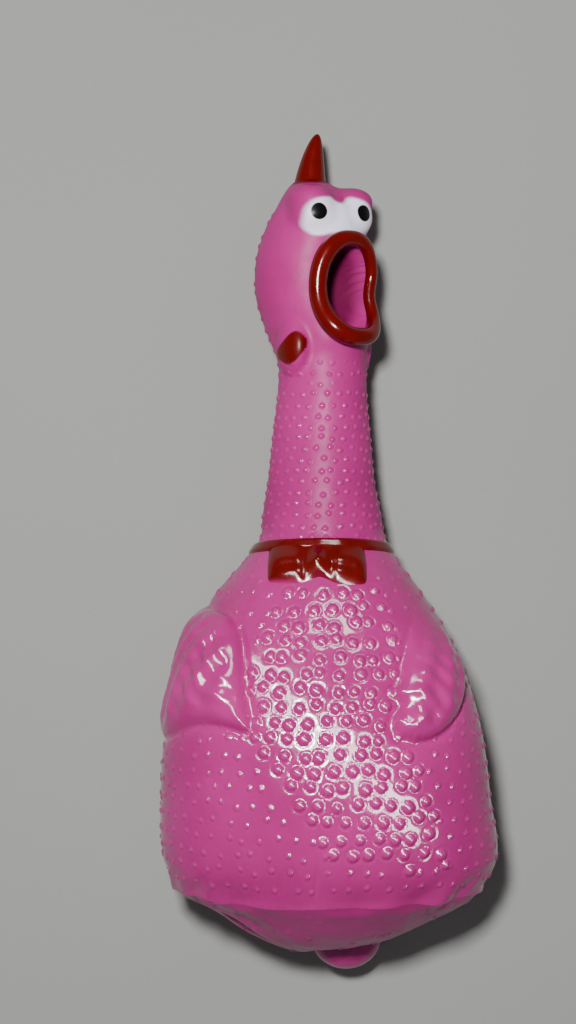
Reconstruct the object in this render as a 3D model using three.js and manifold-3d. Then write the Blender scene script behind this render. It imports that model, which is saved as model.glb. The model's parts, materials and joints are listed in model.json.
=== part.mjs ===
// Squeeze-and-scream rubber chicken, lying on its back: head towards +Y, belly up (+Z).
// One soft vinyl skin, drawn as the regions that are painted or that move apart, and the reed
// squeaker that sits in its throat. Lengths are in millimetres.
import * as THREE from "three";
import { mergeVertices } from "three/addons/utils/BufferGeometryUtils.js";
import Module from "manifold-3d";

const wasm = await Module();
wasm.setup();

// ---------------------------------------------------------------- driving dimensions
const WALL = 2.0; // vinyl wall
const GAP = 0.3; // clearance between neighbouring pieces
const SPINE_Z = 19.5; // height of the neck's axis above the ground
const NECK_X = -1.0; // the neck's axis stands this far to the side of the frame's middle
const HEAD_TURN = THREE.MathUtils.degToRad(36); // the head is turned this far to the side
const NECK_TOP = 46; // where the neck joins the head; y = 0 is the collar's top edge

// The skin from the head's root to the crease above the rump, one row per station:
// y, reach to -X, reach to +X, height of the front, height of the back, height of the widest point.
const SKIN_STATIONS = [
  [48, 12.6, 10.6, 31.2, 7.8, 19.5],
  [38, 13.3, 10.8, 31.6, 7.4, 19.5],
  [28, 14.5, 11.7, 32.6, 6.4, 19.5],
  [16, 15.8, 12.8, 33.9, 5.1, 19.5],
  [7, 17.2, 14.6, 35.0, 4.0, 19.5],
  [1, 17.9, 15.7, 36.4, 2.4, 19.5],
  [-5, 22.2, 19.2, 39.6, 1.7, 20.0],
  [-13, 29.2, 25.0, 45.0, -1.2, 21.5],
  [-23, 36.0, 31.6, 50.5, -2.4, 23.5],
  [-35, 39.6, 36.8, 55.5, -3.0, 25.5],
  [-50, 43.0, 40.9, 59.5, -3.2, 27.0],
  [-68, 44.0, 43.2, 61.0, -3.2, 27.5],
  [-82, 43.5, 44.9, 58.5, -3.0, 26.5],
  [-91, 40.4, 41.0, 54.0, -2.0, 24.5],
];
const NECK_SQUARENESS = 2.0; // superellipse exponents of the cross-section
const BODY_SQUARENESS = 2.3;

// The rump under the crease closes on one point, where the tail stands.
const CREASE_Y = -91;
const CREASE_FRONT_DROP = 1.5; // how much lower the crease runs in front and behind than at its corners
const CREASE_BACK_DROP = 13;
const RUMP_POLE = new THREE.Vector3(3, -108.5, 13);
const RUMP_BULGE = 3.4;
const RUMP_FRONT_BULGE = 2; // how much more it bulges in front, and less behind
const RUMP_SIDE_BULGE = 0.8; // how much more it bulges to -X, and less to +X
const TAIL = { x: 5.2, width: 11.5, length: 9.3, depth: 8 };
const RUMP_SHARES = [0, 0.16, 0.4, 0.62, 0.84];

// The head, in its own turned frame: +Z is the way the face looks, rows as
// y, half width, middle of the depth, half depth.
const HEAD_STATIONS = [
  [46, 11.6, -0.4, 11.9],
  [50, 11.5, -0.9, 13.0],
  [54, 12.0, -1.7, 15.0],
  [58, 13.1, -2.9, 15.6],
  [65, 15.0, -4.8, 15.1],
  [71.5, 15.4, -5.4, 14.7],
  [78, 14.8, -4.8, 14.7],
  [84.5, 13.0, -3.6, 13.8],
  [89.5, 10.8, -2.8, 11.4],
  [93.2, 7.9, -3.2, 8.2],
  [95.4, 4.6, -3.8, 4.8],
];
const CROWN = new THREE.Vector3(0, 96.4, -4);
const MOUTH = { y: 67.2, halfWidth: 6.6, halfHeight: 11 };
const LIP = { halfWidth: 9.2, halfHeight: 12.9, side: 9.9, top: 12.6, bottom: 15.6, tube: 2.1 };

const EYE = { x: 6.2, y: 87.0, z: 3.4 };
const PUPIL = { x: 6.4, aside: -1.0, y: 87.0, radius: 2.6 };

const COLLAR_THICK = 0.8;

const BELLY = { x: 1.5, y: -60, wallX: 21, wallY: 22, flexX: 30, flexY: 28 };
const SEGMENTS = 36; // facets round the skin

// Where the neck bends: the skin between two firm rings of the neck gives way.
const NECK_LOWER = [12, 19];
const NECK_UPPER = [31, 41];

// The squeaker, on the neck's axis: housing radii and span along y, then the reed unit.
const HOUSING = { flange: 9.3, outer: 8.5, inner: 7.3, from: 31.6, to: 45, floor: 2 };
const REED = { width: 8, length: 11, block: 5, slot: 1.2, wedge: 4, channel: 4, tongue: 5.2 };

const PINK = 0xd14d93;
const RED = 0x9c1408;

// ---------------------------------------------------------------- shapes as functions
// A smooth curve through rows of [position, value, ...], read at one column (cubic Hermite).
function sample(rows, column, at) {
  const down = rows[0][0] > rows[rows.length - 1][0];
  const list = down ? [...rows].reverse() : rows;
  const x = THREE.MathUtils.clamp(at, list[0][0], list[list.length - 1][0]);
  let i = list.findIndex((row) => row[0] >= x);
  i = Math.max(1, i);
  const slope = (k) => {
    const a = list[Math.max(0, k - 1)];
    const b = list[Math.min(list.length - 1, k + 1)];
    return (b[column] - a[column]) / (b[0] - a[0]);
  };
  const [p, q] = [list[i - 1], list[i]];
  const span = q[0] - p[0];
  const t = (x - p[0]) / span;
  const [t2, t3] = [t * t, t * t * t];
  return (
    (2 * t3 - 3 * t2 + 1) * p[column] +
    (t3 - 2 * t2 + t) * span * slope(i - 1) +
    (3 * t2 - 2 * t3) * q[column] +
    (t3 - t2) * span * slope(i)
  );
}

const power = (value, exponent) => Math.sign(value) * Math.abs(value) ** exponent;

// A point of the neck and body skin at station y, angle from +X towards the belly (+Z).
function skinPoint(y, angle) {
  const squareness = THREE.MathUtils.lerp(
    NECK_SQUARENESS, BODY_SQUARENESS, THREE.MathUtils.smoothstep(-y, 0, 30));
  const [c, s] = [Math.cos(angle), Math.sin(angle)];
  const middle = sample(SKIN_STATIONS, 5, y);
  const reach = sample(SKIN_STATIONS, c < 0 ? 1 : 2, y);
  const height = s < 0 ? middle - sample(SKIN_STATIONS, 4, y) : sample(SKIN_STATIONS, 3, y) - middle;
  const x = reach * power(c, 2 / squareness);
  const z = middle + height * power(s, 2 / squareness);
  const drop = (s > 0 ? CREASE_FRONT_DROP : CREASE_BACK_DROP) * s * s;
  const towardsCrease = THREE.MathUtils.smoothstep(-y, 60, -CREASE_Y);
  return new THREE.Vector3(x, y - drop * towardsCrease, Math.max(0, z));
}

// The rump: from the crease (share 0) to the pole at the tail (share 1), outside or inside the wall.
function rumpPoint(share, angle, depth = 0) {
  const edge = skinPoint(CREASE_Y, angle);
  edge.addScaledVector(normalAt(skinPoint, CREASE_Y, angle), -depth);
  const pole = RUMP_POLE.clone().add(new THREE.Vector3(0, depth, 0));
  const point = edge.lerp(pole, share);
  const bulge = RUMP_BULGE + RUMP_FRONT_BULGE * Math.sin(angle) - RUMP_SIDE_BULGE * Math.cos(angle);
  point.y -= bulge * Math.sin(Math.PI * share ** 0.8);
  point.z = Math.max(0, point.z);
  return point;
}

function headPoint(y, angle) {
  const middle = sample(HEAD_STATIONS, 2, y);
  return new THREE.Vector3(
    sample(HEAD_STATIONS, 1, y) * Math.cos(angle),
    y,
    middle + sample(HEAD_STATIONS, 3, y) * Math.sin(angle),
  );
}

// The outward normal of a surface given as f(along, angle), by finite differences.
function normalAt(f, along, angle) {
  const [da, db] = [0.02, 0.01];
  const u = f(along + da, angle).sub(f(along - da, angle));
  const v = f(along, angle + db).sub(f(along, angle - db));
  const across = f(along, angle).sub(f(along, angle + Math.PI));
  const normal = u.cross(v).normalize();
  return normal.dot(across) < 0 ? normal.negate() : normal;
}

// ---------------------------------------------------------------- closed meshes
// Rings of points joined in order; each end is a single point, or the last ring joins the first.
function closedRings(rings, loop) {
  const positions = [];
  const starts = rings.map((ring) => {
    const start = positions.length / 3;
    ring.forEach((p) => positions.push(p.x, p.y, p.z));
    return start;
  });
  const index = [];
  const pairs = loop ? rings.length : rings.length - 1;
  for (let k = 0; k < pairs; k += 1) {
    const [a, b] = [rings[k], rings[(k + 1) % rings.length]];
    const [sa, sb] = [starts[k], starts[(k + 1) % rings.length]];
    const n = Math.max(a.length, b.length);
    for (let i = 0; i < n; i += 1) {
      const j = (i + 1) % n;
      if (a.length === 1) index.push(sa, sb + j, sb + i);
      else if (b.length === 1) index.push(sa + i, sa + j, sb);
      else index.push(sa + i, sa + j, sb + j, sa + i, sb + j, sb + i);
    }
  }
  const geometry = new THREE.BufferGeometry();
  geometry.setAttribute("position", new THREE.Float32BufferAttribute(positions, 3));
  geometry.setIndex(index);
  return facingOut(geometry);
}

const toSolid = (geometry) => {
  const bare = geometry.clone();
  ["normal", "uv"].forEach((name) => bare.deleteAttribute(name));
  const merged = mergeVertices(bare, 1e-4);
  return new wasm.Manifold(new wasm.Mesh({
    numProp: 3,
    vertProperties: new Float32Array(merged.attributes.position.array),
    triVerts: new Uint32Array(merged.index.array),
  }));
};

// The largest of the loose bodies that a cut leaves.
const biggest = (solid) =>
  solid.decompose().reduce((a, b) => (a.volume() > b.volume() ? a : b));

const toGeometry = (solid) => {
  const mesh = solid.simplify(0.03).getMesh();
  const geometry = new THREE.BufferGeometry();
  geometry.setAttribute("position", new THREE.Float32BufferAttribute(mesh.vertProperties, 3));
  geometry.setIndex(new THREE.Uint32BufferAttribute(mesh.triVerts, 1));
  return geometry;
};

// Turns a closed mesh's faces outwards if they point in.
function facingOut(geometry) {
  const [p, at] = [geometry.attributes.position, geometry.index.array];
  const [a, b, c] = [new THREE.Vector3(), new THREE.Vector3(), new THREE.Vector3()];
  let volume = 0;
  for (let i = 0; i < at.length; i += 3) {
    a.fromBufferAttribute(p, at[i]);
    b.fromBufferAttribute(p, at[i + 1]);
    c.fromBufferAttribute(p, at[i + 2]);
    volume += a.dot(b.cross(c));
  }
  if (volume < 0) {
    for (let i = 0; i < at.length; i += 3) [at[i + 1], at[i + 2]] = [at[i + 2], at[i + 1]];
  }
  return geometry;
}

// One ring of a surface at an offset along its normals.
function ring(f, along, offset, segments = SEGMENTS) {
  return Array.from({ length: segments }, (_, i) => {
    const angle = (i / segments) * 2 * Math.PI;
    const point = f(along, angle);
    if (offset) point.addScaledVector(normalAt(f, along, angle), offset);
    return point;
  });
}

const steps = (from, to, count) =>
  Array.from({ length: count + 1 }, (_, i) => from + ((to - from) * i) / count);

// An open tube of wall between two offsets of a surface.
function tubeWall(f, stations, outer = 0, inner = -WALL, segments = SEGMENTS) {
  const outside = stations.map((at) => ring(f, at, outer, segments));
  const inside = [...stations].reverse().map((at) => ring(f, at, inner, segments));
  return closedRings([...outside, ...inside], true);
}

// A cup of wall: a surface that ends in a pole, and the surface inside it.
function cupWall(outside, inside, pole, inward) {
  const innerPole = pole.clone().addScaledVector(inward, WALL);
  return closedRings([[innerPole], ...inside.reverse(), ...outside, [pole.clone()]], false);
}

// A raised pad that follows a surface: its outline is a closed curve through [along, degrees] points
// round a middle, its crown stands "height" above the surface and its rim "edge".
function pad(f, middle, outline, height, edge = 0.5, segments = 20, rings = 3) {
  const curve = new THREE.CatmullRomCurve3(
    outline.map(([along, degrees]) => new THREE.Vector3(along, degrees, 0)), true);
  const rim = curve.getPoints(segments).slice(0, segments);
  const place = (share, offset) => rim.map((p) => {
    const along = THREE.MathUtils.lerp(middle[0], p.x, share);
    const angle = THREE.MathUtils.degToRad(THREE.MathUtils.lerp(middle[1], p.y, share));
    return f(along, angle).addScaledVector(normalAt(f, along, angle), GAP + offset);
  });
  const lift = (share) => edge + (height - edge) * (1 - share ** 3);
  const shares = steps(1 / rings, 1, rings - 1);
  const top = shares.map((share) => place(share, lift(share)));
  const bottom = [...shares].reverse().map((share) => place(share, 0));
  const heart = THREE.MathUtils.degToRad(middle[1]);
  const at = (offset) =>
    [f(middle[0], heart).addScaledVector(normalAt(f, middle[0], heart), GAP + offset)];
  return closedRings([at(height), ...top, ...bottom, at(0)], false);
}

// A closed tube of round section along a closed path of points, round a middle point.
function hoop(path, middle, radius, sides = 8) {
  const rings = path.map((point, i) => {
    const [before, after] = [path.at(i - 1), path[(i + 1) % path.length]];
    const along = after.clone().sub(before).normalize();
    const out = point.clone().sub(middle);
    out.addScaledVector(along, -out.dot(along)).normalize();
    const across = along.clone().cross(out);
    return Array.from({ length: sides }, (_, k) => {
      const a = ((k + 0.5) / sides) * 2 * Math.PI;
      return point.clone()
        .addScaledVector(out, radius * Math.cos(a))
        .addScaledVector(across, radius * Math.sin(a));
    });
  });
  return closedRings(rings, true);
}

// An upright elliptical bar, used to cut the belly's round of skin from the body.
function ellipseBar(halfX, halfY, bottom, top) {
  const geometry = new THREE.CylinderGeometry(1, 1, top - bottom, 40);
  geometry.rotateX(Math.PI / 2);
  geometry.scale(halfX, halfY, 1);
  return geometry.translate(BELLY.x, BELLY.y, (top + bottom) / 2);
}

// A disc or tube about the neck's axis, lathed from [radius, y] points that close on themselves.
function turned(points, segments = 24) {
  const profile = [...points, points[0]].map(([r, y]) => new THREE.Vector2(r, y));
  const geometry = new THREE.LatheGeometry(profile, segments);
  ["normal", "uv"].forEach((name) => geometry.deleteAttribute(name));
  return facingOut(mergeVertices(geometry, 1e-4));
}

// ---------------------------------------------------------------- the assembly
const finishes = {
  skin: new THREE.MeshStandardMaterial({ color: PINK, roughness: 0.28, metalness: 0 }),
  red: new THREE.MeshStandardMaterial({ color: RED, roughness: 0.2, metalness: 0 }),
  white: new THREE.MeshStandardMaterial({ color: 0xf1ecf6, roughness: 0.3, metalness: 0 }),
  black: new THREE.MeshStandardMaterial({ color: 0x050505, roughness: 0.25, metalness: 0 }),
  plastic: new THREE.MeshStandardMaterial({ color: 0xece8dc, roughness: 0.45, metalness: 0 }),
};

const toy = new THREE.Group();
const head = new THREE.Group();
head.position.set(NECK_X, 0, SPINE_Z);
head.rotation.y = HEAD_TURN;
const squeaker = new THREE.Group();
squeaker.position.set(NECK_X, 0, SPINE_Z);
toy.add(head, squeaker);

function add(name, geometry, finish, parent = toy) {
  const mesh = new THREE.Mesh(geometry, finishes[finish]);
  mesh.name = name;
  parent.add(mesh);
  return mesh;
}

buildBody();
buildReliefs();
buildNeck();
buildHead();
buildFace();
buildSqueaker();

// The hollow body, with the round of belly skin that gives way under the hand, and the rump.
function buildBody() {
  const stations = [-2, -6, -11, -17, -24, -33, -43, -54, -65, -75, -83, CREASE_Y + GAP];
  const body = toSolid(tubeWall(skinPoint, stations));
  const [low, high] = [30, 80];
  const flex = toSolid(ellipseBar(BELLY.flexX, BELLY.flexY, low, high));
  const wall = toSolid(ellipseBar(BELLY.wallX, BELLY.wallY, low, high));
  const flexCut = toSolid(ellipseBar(BELLY.flexX + GAP, BELLY.flexY + GAP, low, high));
  const wallCut = toSolid(ellipseBar(BELLY.wallX + GAP, BELLY.wallY + GAP, low, high));
  add("torso_shell", toGeometry(body.subtract(flexCut)), "skin");
  add("belly_flex_ring", toGeometry(body.intersect(flex).subtract(wallCut)), "skin");
  add("belly_wall", toGeometry(body.intersect(wall)), "skin");
  const rumpInside = (share, angle) => rumpPoint(share, angle, WALL);
  const rump = cupWall(
    RUMP_SHARES.map((at) => ring(rumpPoint, at, 0)),
    RUMP_SHARES.map((at) => ring(rumpInside, at, 0)),
    RUMP_POLE, new THREE.Vector3(0, 1, 0));
  add("rump_panel", rump, "skin");
}

// The tail, wings, collar and bow that stand out of the skin.
function buildReliefs() {
  const tail = new THREE.SphereGeometry(1, 20, 12).scale(TAIL.width, TAIL.length, TAIL.depth);
  tail.translate(TAIL.x, RUMP_POLE.y + 2.5, RUMP_POLE.z - 1);
  const clearOf = (share, angle) => rumpPoint(share, angle, -2 * GAP);
  const clear = toSolid(closedRings([
    [new THREE.Vector3(0, -60, 20)],
    ...RUMP_SHARES.map((at) => ring(clearOf, at, 0)),
    [RUMP_POLE.clone().add(new THREE.Vector3(0, -2 * GAP, 0))],
  ], false));
  add("tail_nub", toGeometry(toSolid(tail).subtract(clear)), "skin");
  add("wing_left", pad(skinPoint, [-37, 150],
    [[-16, 156], [-21, 133], [-36, 121], [-49, 112], [-45, 134], [-45, 160], [-50, 186],
      [-37, 186], [-24, 177]], 3.0, 1.0), "skin");
  add("wing_right", pad(skinPoint, [-35, 38],
    [[-17, 36], [-23, 52], [-36, 63], [-46, 64], [-48.5, 52], [-44, 32], [-36, 16], [-25, 18]],
    4.6, 1.4), "skin");
  add("collar_band", tubeWall(skinPoint, [-3.6, -2, -0.4, 1.2], GAP + COLLAR_THICK, 1.5 * GAP, 32), "red");
  const onCollar = (y, angle) =>
    skinPoint(y, angle).addScaledVector(normalAt(skinPoint, y, angle), COLLAR_THICK + GAP);
  add("bow_loop_left", pad(onCollar, [-4.4, 113],
    [[0.2, 127], [0, 112], [-1.2, 100], [-6.4, 100], [-8.6, 112], [-9.6, 126], [-4.4, 129]],
    2.8, 1.2, 18), "red");
  add("bow_loop_right", pad(onCollar, [-4.4, 73],
    [[0.2, 61], [-4.4, 60], [-10, 62], [-8.8, 73], [-6.4, 85], [-1.2, 85], [0, 73]],
    2.8, 1.2, 18), "red");
  add("bow_knot", pad(onCollar, [-4, 92.5],
    [[-0.6, 96.5], [-0.6, 88.5], [-4, 87.5], [-7.4, 88.5], [-7.4, 96.5], [-4, 97.5]],
    3.2, 1.6, 16), "red");
}

// Two firm rings and the three lengths of skin that bend or twist between them.
function buildNeck() {
  const lengths = [
    ["neck_flex_lower", -2 + GAP, NECK_LOWER[0] - GAP],
    ["neck_lower_shell", ...NECK_LOWER],
    ["neck_flex_middle", NECK_LOWER[1] + GAP, NECK_UPPER[0] - GAP],
    ["neck_upper_shell", ...NECK_UPPER],
    ["neck_flex_upper", NECK_UPPER[1] + GAP, NECK_TOP - GAP],
  ];
  for (const [name, from, to] of lengths) {
    add(name, tubeWall(skinPoint, steps(from, to, 3), 0, -WALL, 28), "skin");
  }
}

// The hollow head with its mouth cut open.
function buildHead() {
  const stations = [46, 50, 54, 58, 63, 69, 75, 81, 86, 89.5, 93.2, 95.4];
  const shell = toSolid(cupWall(
    stations.map((at) => ring(headPoint, at, 0, 32)),
    stations.map((at) => ring(headPoint, at, -WALL, 32)),
    CROWN, new THREE.Vector3(0, -1, 0)));
  const bar = new THREE.CylinderGeometry(1, 1, 40, 32).rotateX(Math.PI / 2);
  bar.scale(MOUTH.halfWidth, MOUTH.halfHeight, 1).translate(0, MOUTH.y, 20);
  add("head_shell", toGeometry(shell.subtract(toSolid(bar))), "skin", head);
}

// The outside of the head as a full solid, grown by a clearance, which its reliefs are cut to.
function headFilled(grow) {
  const stations = [46, 50, 54, 58, 63, 69, 75, 81, 86, 89.5, 93.2, 95.4];
  const rings = stations.map((at) => ring(headPoint, at, grow, 32));
  const ends = [new THREE.Vector3(0, 45, 0), CROWN.clone().add(new THREE.Vector3(0, grow, 0))];
  return toSolid(closedRings([[ends[0]], ...rings, [ends[1]]], false));
}

// Comb, brow, eyes, lips and wattles.
function buildFace() {
  const skull = headFilled(2 * GAP);
  const outside = (geometry) => toSolid(geometry).subtract(skull);

  const combRings = steps(0, 1, 5).slice(0, 5).map((t) => {
    const radius = 5.1 * Math.sqrt(1 - t);
    return Array.from({ length: 16 }, (_, i) => {
      const a = (i / 16) * 2 * Math.PI;
      return new THREE.Vector3(
        radius * Math.cos(a), 92.5 + 18.3 * t, -6.2 + 2 * t ** 2 + radius * Math.sin(a));
    });
  });
  const comb = closedRings(
    [[new THREE.Vector3(0, 92, -6.2)], ...combRings, [new THREE.Vector3(0, 110.8, -4.2)]], false);
  add("comb_spike", toGeometry(outside(comb)), "red", head);

  const mouth = new THREE.Vector3(0, MOUTH.y, LIP.side);
  const lipPath = Array.from({ length: 20 }, (_, i) => {
    const a = (i / 20) * 2 * Math.PI;
    const [c, s] = [Math.cos(a), Math.sin(a)];
    const forward = (s > 0 ? LIP.top : LIP.bottom) - LIP.side;
    return new THREE.Vector3(
      LIP.halfWidth * c, MOUTH.y + LIP.halfHeight * s, LIP.side + forward * s * s);
  });
  const lips = outside(hoop(lipPath, mouth, LIP.tube));
  add("lip_ring", toGeometry(lips), "red", head);

  const lipClear = toSolid(hoop(lipPath, mouth, LIP.tube + GAP));
  const whites = [-1, 1].map((side) => {
    const ball = new THREE.SphereGeometry(1, 18, 12).scale(6.4, 5.6, 6.2);
    return outside(ball.translate(side * EYE.x, EYE.y, EYE.z)).subtract(lipClear);
  });
  const half = (side) => toSolid(
    new THREE.BoxGeometry(20, 30, 40).translate(side * (10 + GAP / 2), 88, 5));
  const brow = [-1, 1].map((side) => {
    const hood = new THREE.SphereGeometry(1, 18, 10).scale(6.4, 4.2, 6.4);
    const eye = new THREE.SphereGeometry(1, 18, 12).scale(6.4 + GAP, 5.6 + GAP, 6.2 + GAP);
    return outside(hood.translate(side * (EYE.x + 0.9), EYE.y + 3.4, EYE.z - 1.2))
      .subtract(toSolid(eye.translate(side * EYE.x, EYE.y, EYE.z)))
      .intersect(half(side));
  });
  const combClear = toSolid(comb.clone());
  ["left", "right"].forEach((name, k) => {
    const side = k ? 1 : -1;
    const white = whites[k].intersect(half(side)).subtract(brow[k]);
    add(`eye_white_${name}`, toGeometry(biggest(white)), "white", head);
    add(`brow_${name}`, toGeometry(biggest(brow[k].subtract(combClear))), "skin", head);
    const eyeball = new THREE.SphereGeometry(1, 18, 12)
      .scale(6.4 + GAP, 5.6 + GAP, 6.2 + GAP).translate(side * EYE.x, EYE.y, EYE.z);
    const pupil = new THREE.SphereGeometry(PUPIL.radius, 14, 10)
      .translate(side * PUPIL.x + PUPIL.aside, PUPIL.y, EYE.z + 5.4);
    add(`pupil_${name}`, toGeometry(toSolid(pupil).subtract(toSolid(eyeball)).subtract(skull)),
      "black", head);
    const lobe = [[46.6, 0], [46.8, 16], [50, 28], [56, 30], [60, 18], [60, 4], [56, -10], [50, -12]];
    const middleAngle = k ? 8 : 172;
    const outline = lobe.map(([y, degrees]) => [y, k ? degrees : 180 - degrees]);
    add(`wattle_${name}`, pad(headPoint, [53, middleAngle], outline, 2.4, 1.0, 18), "skin", head);
    const onLobe = (y, angle) =>
      headPoint(y, angle).addScaledVector(normalAt(headPoint, y, angle), 2.4 + GAP);
    const patch = [[49, 10], [50.4, 24], [54.5, 28], [57.6, 22], [56.6, 8], [52.5, 3]]
      .map(([y, degrees]) => [y, k ? degrees : 180 - degrees]);
    add(`wattle_patch_${name}`,
      pad(onLobe, [53.4, k ? 16 : 164], patch, 0.6, 0.4, 14, 2), "red", head);
  });
}

// The reed squeaker in the throat. Air comes from the body at the open end, passes round the tongue
// into the block's channel, and leaves through the housing's floor and the grille.
function buildSqueaker() {
  const { flange, outer, inner, from, to, floor } = HOUSING;
  const cup = toSolid(turned([
    [inner, from], [flange, from], [flange, from + 2], [outer, from + 2], [outer, to],
    [1, to], [1, to - floor], [inner, to - floor]]));
  const socket = new THREE.BoxGeometry(
    REED.width + 2 * GAP, 2 * floor, REED.block + REED.slot + REED.wedge + 2 * GAP);
  const middle = (REED.slot + REED.wedge - REED.block) / 2;
  const housing = cup.subtract(toSolid(socket.translate(0, to - floor / 2, middle)));
  add("squeaker_housing", toGeometry(housing), "plastic", squeaker);

  const disc = toSolid(
    new THREE.CylinderGeometry(outer, outer, 1.5, 24).translate(0, to + GAP + 0.75, 0));
  const holes = Array.from({ length: 6 }, (_, i) => {
    const a = (i / 6) * 2 * Math.PI;
    return toSolid(new THREE.CylinderGeometry(1.5, 1.5, 6, 10)
      .translate(4.6 * Math.cos(a), to, 4.6 * Math.sin(a)));
  });
  const grille = holes.reduce((plate, hole) => plate.subtract(hole), disc);
  add("squeaker_grille", toGeometry(grille), "plastic", squeaker);

  const blockEnd = to - 0.5;
  const blockMiddle = blockEnd - REED.length / 2;
  const block = new THREE.BoxGeometry(REED.width, REED.length, REED.block)
    .translate(0, blockMiddle, -REED.block / 2);
  const channel = new THREE.BoxGeometry(REED.channel, REED.length, REED.block)
    .translate(0, blockMiddle + 1.5, -REED.block / 2 + 2);
  add("reed_block", toGeometry(toSolid(block).subtract(toSolid(channel))), "plastic", squeaker);
  const wedge = new THREE.BoxGeometry(REED.width, 2.4, REED.wedge)
    .translate(0, blockEnd - 1.2, REED.slot + REED.wedge / 2);
  add("reed_wedge", wedge, "plastic", squeaker);
  const tongue = new THREE.BoxGeometry(REED.tongue, REED.length - 1.4, REED.slot - 2 * GAP - 0.2)
    .translate(0, blockMiddle + 0.7, REED.slot / 2 + 0.1);
  add("reed_tongue", tongue, "plastic", squeaker);
}

// The frame's origin is under the middle of the whole toy, on the ground it lies on.
toy.updateMatrixWorld(true);
const bounds = new THREE.Box3().setFromObject(toy, true);
toy.position.set(-(bounds.min.x + bounds.max.x) / 2, -(bounds.min.y + bounds.max.y) / 2, 0);

export default toy;
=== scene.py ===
"""Squeeze-and-scream rubber chicken: one soft vinyl skin, its painted relief and its squeaker.

Lengths inside the shape formulas are in millimetres, in the toy's own frame: y is 0 at the collar's
top edge and grows towards the comb, z is height above the ground, x is 0 near the neck's axis.
"""

from __future__ import annotations

import json
import logging
import math
from collections.abc import Callable
from dataclasses import dataclass, field
from enum import Enum

import bpy
import numpy as np
from mathutils import Matrix, Vector

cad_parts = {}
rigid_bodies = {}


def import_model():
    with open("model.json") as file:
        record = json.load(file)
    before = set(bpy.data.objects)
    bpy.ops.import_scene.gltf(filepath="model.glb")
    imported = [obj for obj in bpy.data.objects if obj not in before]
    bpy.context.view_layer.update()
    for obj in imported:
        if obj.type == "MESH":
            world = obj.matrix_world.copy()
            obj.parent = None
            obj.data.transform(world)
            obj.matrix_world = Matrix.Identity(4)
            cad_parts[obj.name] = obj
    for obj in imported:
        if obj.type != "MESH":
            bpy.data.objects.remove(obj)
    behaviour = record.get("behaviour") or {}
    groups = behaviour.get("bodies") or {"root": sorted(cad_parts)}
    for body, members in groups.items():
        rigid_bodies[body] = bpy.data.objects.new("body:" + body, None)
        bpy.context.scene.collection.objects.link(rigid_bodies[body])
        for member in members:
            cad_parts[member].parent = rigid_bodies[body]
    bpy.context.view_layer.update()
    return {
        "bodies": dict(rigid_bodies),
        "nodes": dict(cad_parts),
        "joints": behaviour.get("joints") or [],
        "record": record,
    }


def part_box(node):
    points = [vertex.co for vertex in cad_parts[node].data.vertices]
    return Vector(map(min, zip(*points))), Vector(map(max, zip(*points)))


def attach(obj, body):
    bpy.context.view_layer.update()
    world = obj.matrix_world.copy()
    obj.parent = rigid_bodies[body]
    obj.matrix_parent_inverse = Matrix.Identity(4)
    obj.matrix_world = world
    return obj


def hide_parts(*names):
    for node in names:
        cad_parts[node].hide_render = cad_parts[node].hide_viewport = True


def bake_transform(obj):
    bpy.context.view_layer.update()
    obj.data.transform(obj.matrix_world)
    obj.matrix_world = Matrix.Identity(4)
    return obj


log = logging.getLogger("chicken")
Array = np.ndarray
Place = tuple[float, float, float]
MM = 0.001


# ---------------------------------------------------------------- numbers to shapes
def smooth(value: Array, low: float, high: float) -> Array:
    """Smoothstep: 0 below low, 1 above high, and 3t^2 - 2t^3 between.

    Args:
        value: numbers to shape.
        low: where the step starts.
        high: where it ends.

    Returns:
        The shaped numbers.
    """
    t = np.clip((value - low) / (high - low), 0.0, 1.0)
    return t * t * (3.0 - 2.0 * t)


def bell(value: Array, width: float) -> Array:
    """exp(-(value / width)^2), a soft hump of that half width."""
    return np.exp(-((value / width) ** 2))


def hermite(rows: Array, column: int, at: Array) -> Array:
    """Cubic curve through rows of [position, value, ...], with slopes from each row's neighbours.

    Args:
        rows: the stations, one per row, in any order of position.
        column: which value to read.
        at: positions to read it at, held inside the first and last station.

    Returns:
        The values there.
    """
    order = np.argsort(rows[:, 0])
    x, v = rows[order, 0], rows[order, column]
    slope = np.gradient(v)
    slope[1:-1] = (v[2:] - v[:-2]) / (x[2:] - x[:-2])
    slope[0] = (v[1] - v[0]) / (x[1] - x[0])
    slope[-1] = (v[-1] - v[-2]) / (x[-1] - x[-2])
    at = np.clip(at, x[0], x[-1])
    i = np.clip(np.searchsorted(x, at), 1, len(x) - 1)
    span = x[i] - x[i - 1]
    t = (at - x[i - 1]) / span
    t2, t3 = t * t, t * t * t
    start = (2 * t3 - 3 * t2 + 1) * v[i - 1] + (t3 - 2 * t2 + t) * span * slope[i - 1]
    return start + (3 * t2 - 2 * t3) * v[i] + (t3 - t2) * span * slope[i]


def signed_power(value: Array, exponent: float) -> Array:
    """|value|^exponent with value's own sign."""
    return np.sign(value) * np.abs(value) ** exponent


def wrapped_noise(angle: Array, along: Array, seed: int, waves: int = 7, most: int = 19) -> Array:
    """A sum of sines in the angle (whole turns, so it closes) and along the piece, within about -1 to 1.

    Args:
        angle: angles round the piece.
        along: places along it.
        seed: seed of its random draws.
        waves: how many sines.
        most: one more than the most turns a sine makes.

    Returns:
        The noise at each point.
    """
    rng = np.random.default_rng(seed)
    total = np.zeros(np.broadcast(angle, along).shape)
    for _ in range(waves):
        turns = rng.integers(2, most)
        total += np.sin(turns * angle + rng.uniform(0.05, 0.5) * along + rng.uniform(0, 6.28))
    return total / math.sqrt(2 * waves)


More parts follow.
